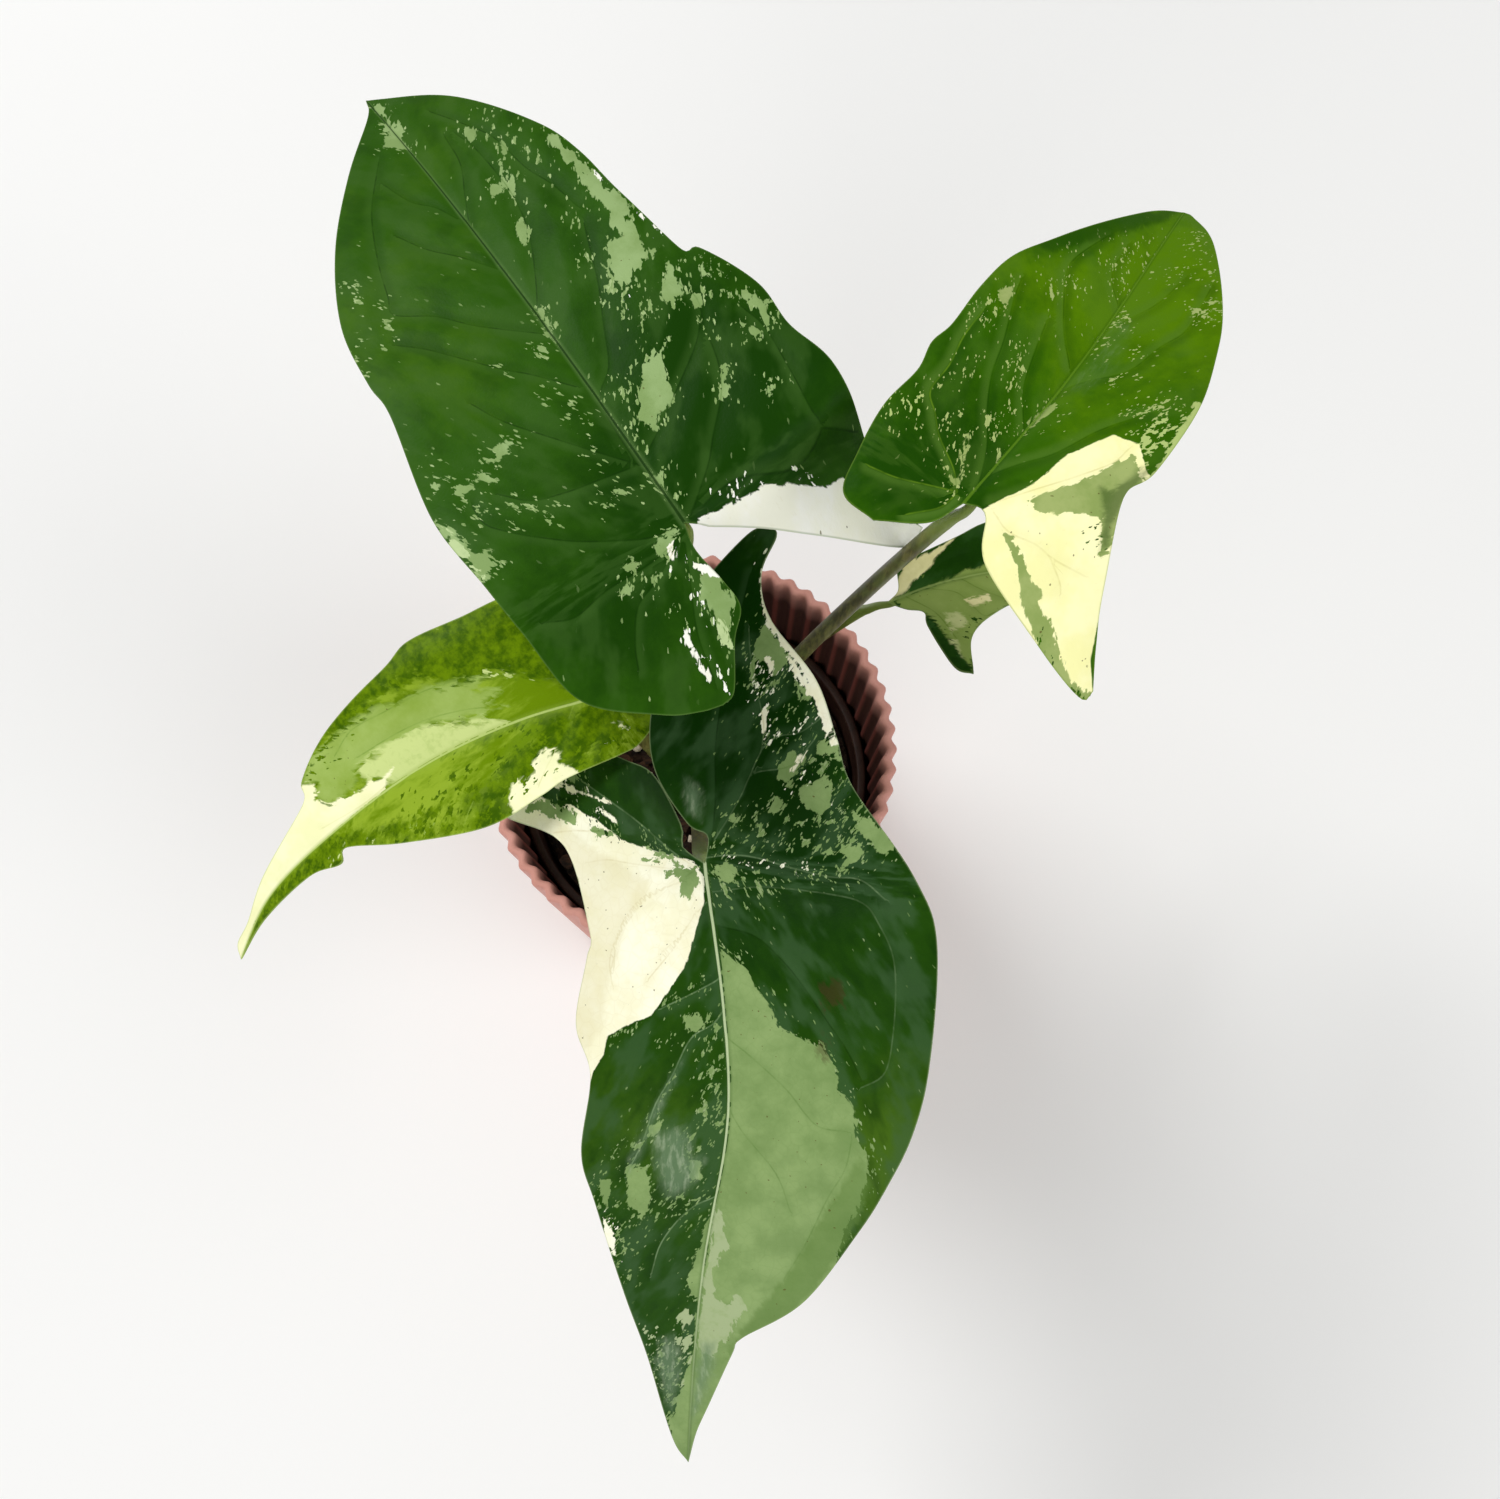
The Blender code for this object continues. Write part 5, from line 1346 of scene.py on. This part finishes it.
rim_top = arc((wall_radius(POT_HEIGHT - LIP) - LIP, POT_HEIGHT - LIP), LIP, 0, 180, 8)
foot_turn = arc((wall_radius(2) - 2.0, 2.0), 2.0, -90, 0, 4)
floor_turn = arc((wall_radius(6.5) - WALL - 2.5, 6.5), 2.5, 0, -90, 4)
outline = [(0.0, 0.0), *eased((10.0, 0.0), (38.0, 0.0), 8), *foot_turn]
outline += eased((wall_radius(4.0), 4.0), rim_top[0], 6) + rim_top[1:]
outline += eased((wall_radius(106.0) - WALL, 106.0), (wall_radius(8.0) - WALL, 8.0), 6)
outline += [*floor_turn, (30.0, FLOOR), (10.0, FLOOR), (0.0, FLOOR)]
pot = spun("cover_pot", outline, POT_FLUTES * STEPS_PER_FLUTE)
points = get_points(pot) / MM
height = points[:, 2]
turn = np.arctan2(points[:, 1], points[:, 0])
away = np.hypot(points[:, 0], points[:, 1])
flute = np.cos(POT_FLUTES * turn)
outside = (away - (wall_radius(height) - WALL)) / WALL
fades = unit(height / 4.0) * unit((away - 36.0) / 3.0)
low_inside = np.where((outside < 0.5) & (height < 12.0), unit((height - 5.0) / 7.0), 1.0)
push = FLUTE_DEPTH * (flute - np.where(outside > 0.5, 1.0, 0.7)) * fades * low_inside
points[:, 0] += push * np.cos(turn)
points[:, 1] += push * np.sin(turn)
set_points(pot, points * MM)
# Where painted shade lies inside the pot: none on the outer face, rising from 1.5 mm below the rim top to
# full 5 mm further down
store(pot, "inner", np.where(outside < 0.5, unit((POT_HEIGHT - 1.5 - height) / 5.0), 0.0))
store(pot, "crest", flute)
smooth(pot, 50)
print("cover pot, widest radius in mm:", round(float(np.hypot(points[:, 0], points[:, 1]).max()), 2))

# %% [markdown]
# Moulded pink plastic is nearly even in colour. A little cloudiness and finer grain in the bump keep
# it from looking like paint. Inside, below the rim, the wall is painted deep brown as painted shade,
# and the crests of the flutes keep some red as a painted highlight.

# %% Pink plastic
def pink_finish():
    p = Paint("dusty_pink_finish", 0.6, Specular_IOR_Level=0.2)
    here = p.place()
    cloudy = p.noise(here, 45.0, 4.0, 0.6)
    grit = p.noise(here, 1600.0, 2.0, 0.6)
    colour = p.mix(screen(206, 146, 133), screen(211, 152, 140), p.fade(cloudy, 0.35, 0.65))
    colour = p.mix(colour, screen(176, 116, 102), p.fade(grit, 0.6, 0.75) * 0.35)
    # Painted shade inside the pot: deep brown in the troughs of the flutes, with a painted red highlight on
    # their crests
    painted_inside_shade = p.mix(screen(38, 13, 7), screen(112, 50, 42), p.fade(-p.attribute("crest"), 0.2, 1.0) * 0.8)
    colour = p.mix(colour, painted_inside_shade, p.attribute("inner") * 0.92)
    return p.done(colour, 0.55 + (cloudy - 0.5) * 0.2, grit, 0.06)


finish_piece(pot, "outer_pot", pink_finish())

# %% [markdown]
# ## The nursery pot
# The plant grows in a thin brown pot that hangs loose in the cover pot. Its rolled rim shows as a
# ring round the soil. It is spun like the cover pot, and six cylinders cut its drainage holes.

# %% Nursery pot
NURSERY_FOOT, NURSERY_RIM = 35.0, 43.4        # radii of the wall, at its base and at its top
NURSERY_BASE, NURSERY_TALL = 4.3, 75.7
NURSERY_WALL = 1.2
HOLES, HOLE_RADIUS, HOLE_RING = 6, 4.0, 23.0


def inner_wall(z):
    return NURSERY_FOOT + (NURSERY_RIM - NURSERY_FOOT) * (z - NURSERY_BASE) / NURSERY_TALL


def lining(z):
    return inner_wall(z) - NURSERY_WALL


band = arc((43.5, 79.4), 0.6, 0, 90, 3) + arc((42.4, 79.4), 0.6, 90, 180, 3)
outline = [(0.0, NURSERY_BASE), (8.0, NURSERY_BASE), (34.0, NURSERY_BASE), (inner_wall(5.0) - 0.2, 4.6)]
outline += eased((inner_wall(5.4), 5.4), (inner_wall(75.4), 75.4), 8)
outline += [(inner_wall(75.8) + 0.3, 75.9), (44.1, 76.5), *band, (lining(78.0), 78.0)]
outline += eased((lining(76.0), 76.0), (lining(7.0), 7.0), 8)
outline += [(lining(6.0) - 1.0, 5.9), (8.0, 5.9), (0.0, 5.9)]
inner = spun("nursery_pot", outline, 96)
for hole in range(HOLES):
    turn = math.radians(25 + 360 / HOLES * hole)
    spot = (HOLE_RING * MM * math.cos(turn), HOLE_RING * MM * math.sin(turn), 5.1 * MM)
    deselect()
    bpy.ops.mesh.primitive_cylinder_add(vertices=20, radius=HOLE_RADIUS * MM, depth=6 * MM, location=spot)
    drill = bpy.context.object
    modify(inner, "BOOLEAN", operation="DIFFERENCE", solver="EXACT", object=drill)
    bpy.data.objects.remove(drill, do_unlink=True)
smooth(inner, 40)


def brown_finish():
    p = Paint("brown_plastic_finish", 0.55, Specular_IOR_Level=0.2)
    here = p.place()
    cloudy = p.noise(here, 60.0, 4.0, 0.65)
    dust = p.noise(here, 420.0, 3.0, 0.6)
    colour = p.mix(screen(44, 26, 20), screen(62, 40, 31), p.fade(cloudy, 0.35, 0.65))
    colour = p.mix(colour, screen(28, 20, 15), p.fade(dust, 0.55, 0.7) * 0.5)
    return p.done(colour, 0.5 + (cloudy - 0.5) * 0.3, dust, 0.08)


finish_piece(inner, "inner_pot", brown_finish())

# %% [markdown]
# ## Soil
# Potting mix is a crumbly mass of bark, coir and white perlite. The mass itself is one spun body
# with a lumpy top that the crown stands in. Loose bits are modelled once each, as a bark chip and
# a bead of perlite, and copied with a turn and a size of their own.

# %% Soil body
SOIL_GAP = 0.6
SOIL_TOP = 72.8
LUMP_HEIGHT, LUMP_WAVES = 0.28, 60
STEM_HOLE = 8.8


def soil_edge(z):
    return lining(z) - SOIL_GAP


outline = [(0.0, 6.2), (12.0, 6.2), (31.0, 6.2), (soil_edge(9.0), 9.2)]
outline += eased((soil_edge(14.0), 14.0), (soil_edge(71.5), 71.8), 9)
outline += eased((soil_edge(73.0) - 0.6, SOIL_TOP), (STEM_HOLE + 0.1, SOIL_TOP), 0.8)
outline += [(STEM_HOLE, 71.8), (STEM_HOLE, 64.0), (STEM_HOLE, 57.7), (0.0, 57.7)]
soil = spun("soil_mix", outline, 180)
rng = np.random.default_rng(7)
waves = rng.uniform(-1.0, 1.0, (LUMP_WAVES, 2)) * np.geomspace(0.25, 3.2, LUMP_WAVES)[:, None]
phases = rng.uniform(0, 2 * np.pi, LUMP_WAVES)


def rise(spots):
    # The lumps' height over the plain top: a sum of waves of many lengths and directions
    lumps = sum(np.sin(spots @ wave + phase) / (0.6 + np.linalg.norm(wave))
                for wave, phase in zip(waves, phases))
    return LUMP_HEIGHT * lumps + 0.2


points = get_points(soil) / MM
points[:, 2] += np.where(points[:, 2] > SOIL_TOP - 0.3, rise(points[:, :2]), 0.0)
set_points(soil, points * MM)
smooth(soil, 50)


def soil_finish():
    p = Paint("potting_mix_finish", 0.95, Specular_IOR_Level=0.2)
    here = p.place()
    crumbs = p.noise(here, 520.0, 5.0, 0.7)
    broad = p.noise(here, 120.0, 3.0, 0.6)
    colour = p.mix(screen(16, 11, 7), screen(50, 34, 23), p.fade(crumbs, 0.4, 0.65))
    colour = p.mix(colour, screen(66, 44, 30), p.fade(broad, 0.55, 0.7) * 0.5)
    return p.done(colour, 0.9 + (crumbs - 0.5) * 0.2, crumbs, 0.8)


finish_piece(soil, "soil", soil_finish())

# %% Bark chips and perlite
NEAREST, FURTHEST = 10.5, 39.0      # how far from the stem loose bits lie


def scattered(name, master, count, low, high, sink, lean):
    # Copies of one bit over the soil, each with its own mesh, size and turn, joined as one piece
    bits = []
    base = get_points(master).copy()
    for _ in range(count):
        angle, away = rng.uniform(0, 2 * np.pi), math.sqrt(rng.uniform(NEAREST ** 2, FURTHEST ** 2))
        x, y = away * math.cos(angle), away * math.sin(angle)
        size = rng.uniform(low, high, 3)
        spin = rng.uniform(0, 2 * np.pi)
        tilt = rng.normal(0, lean, 2)
        bit = master.copy()
        bit.data = master.data.copy()
        bpy.context.scene.collection.objects.link(bit)
        across, along, up = (base * size / MM).T
        shaped = np.column_stack([across * math.cos(spin) - along * math.sin(spin),
                                  across * math.sin(spin) + along * math.cos(spin), up])
        shaped[:, 2] += shaped[:, :2] @ tilt
        ground = SOIL_TOP + rise(np.array([x, y]))
        set_points(bit, (shaped + (x, y, ground + size[2] * sink)) * MM)
        bits.append(bit)
    bpy.data.objects.remove(master, do_unlink=True)
    return join(bits, name)


deselect()
bpy.ops.mesh.primitive_cube_add(size=MM)
chip = bpy.context.object
edit(chip, lambda: bpy.ops.mesh.subdivide(number_cuts=1, smoothness=0.35))
points = get_points(chip)
set_points(chip, points * (1.0, 0.62, 0.4) + rng.normal(0, 0.06, points.shape) * MM)
chips = smooth(scattered("bark_chips", chip, 190, 1.6, 4.6, 0.12, 0.22), 30)

deselect()
bpy.ops.mesh.primitive_ico_sphere_add(subdivisions=2, radius=0.5 * MM)
bead = bpy.context.object
points = get_points(bead)
set_points(bead, points * (1 + rng.normal(0, 0.13, (len(points), 1))))
beads = smooth(scattered("perlite_beads", bead, 110, 1.2, 3.2, 0.18, 0.1), 60)


def bark_finish():
    p = Paint("bark_finish", 0.85, Specular_IOR_Level=0.25)
    here = p.place()
    fibres = p.noise(here, (260.0, 900.0, 500.0), 4.0, 0.65)
    colour = p.mix(screen(32, 20, 13), screen(82, 54, 35), p.fade(fibres, 0.35, 0.7))
    return p.done(colour, 0.8 + (fibres - 0.5) * 0.3, fibres, 0.3)


def perlite_finish():
    p = Paint("perlite_finish", 0.8, Specular_IOR_Level=0.3)
    here = p.place()
    pores = p.noise(here, 1400.0, 3.0, 0.6)
    dirt = p.noise(here, 220.0, 3.0, 0.6)
    colour = p.mix(screen(214, 202, 178), screen(150, 130, 104), p.fade(dirt, 0.42, 0.66))
    colour = p.mix(colour, screen(110, 94, 74), p.fade(pores, 0.58, 0.7) * 0.6)
    return p.done(colour, 0.75 + (pores - 0.5) * 0.3, pores, 0.2)


finish_piece(chips, None, bark_finish())
finish_piece(beads, None, perlite_finish())

# %% [markdown]
# ## Floor, light and camera
# A plain pale floor and a bright even room stand in for a photo studio. One large soft light high
# at the back left gives the leaves their sheen, and two weaker ones fill from the right and the
# front. The camera looks down steeply, as in the photograph.

# %% Floor
deselect()
bpy.ops.mesh.primitive_plane_add(size=6.0, location=(0, 0, 0))
floor = bpy.context.object
floor.name = "studio_floor"
paint = Paint("studio_floor_finish", 0.9)
cloudy = paint.noise(paint.place(), 3.0)
paint.feed("Base Color", paint.mix(screen(240, 240, 238), screen(246, 246, 245), cloudy))
floor.data.materials.append(paint.material)
print("floor, in metres:", [round(c, 1) for c in floor.dimensions])

# %% Lights and sky
TARGET = np.array((0.0, 0.0, 0.15))
SOFTBOXES = {"key_softbox": ((-0.9, 0.75, 1.5), 0.9, 19.0), "fill_softbox": ((1.3, -0.6, 1.2), 1.2, 10.5),
             "front_softbox": ((-0.5, -1.6, 1.0), 1.2, 10.5)}
SKY_STRENGTH = 0.34
for name, (place, size, power) in SOFTBOXES.items():
    deselect()
    bpy.ops.object.light_add(type="AREA", location=place)
    lamp = bpy.context.object
    lamp.name = name
    lamp.data.shape = "DISK"
    lamp.data.size = size
    lamp.data.energy = power
    x, y, z = TARGET - place
    lamp.rotation_euler = (-math.atan2(math.hypot(x, y), -z), 0.0, math.atan2(y, x) + math.pi / 2)

world = bpy.data.worlds.new("pale_sky")
world.use_nodes = True
sky = world.node_tree.nodes["Background"].inputs
sky["Color"].default_value = (1.0, 1.0, 1.0, 1.0)
sky["Strength"].default_value = SKY_STRENGTH
bpy.context.scene.world = world
bpy.context.scene.view_settings.view_transform = "Standard"

# %% Camera
CAMERA_PLACE = (0.0144, -0.11306, 0.54557)
CAMERA_TILT = 14.5
CAMERA_LENS = 44.82
deselect()
bpy.ops.object.camera_add(location=CAMERA_PLACE, rotation=(math.radians(CAMERA_TILT), 0.0, 0.0))
camera = bpy.context.object
camera.data.lens = CAMERA_LENS
camera.data.sensor_width = 36.0
camera.data.clip_start = 0.01
bpy.context.scene.camera = camera
print("camera at", [round(c, 3) for c in camera.location])
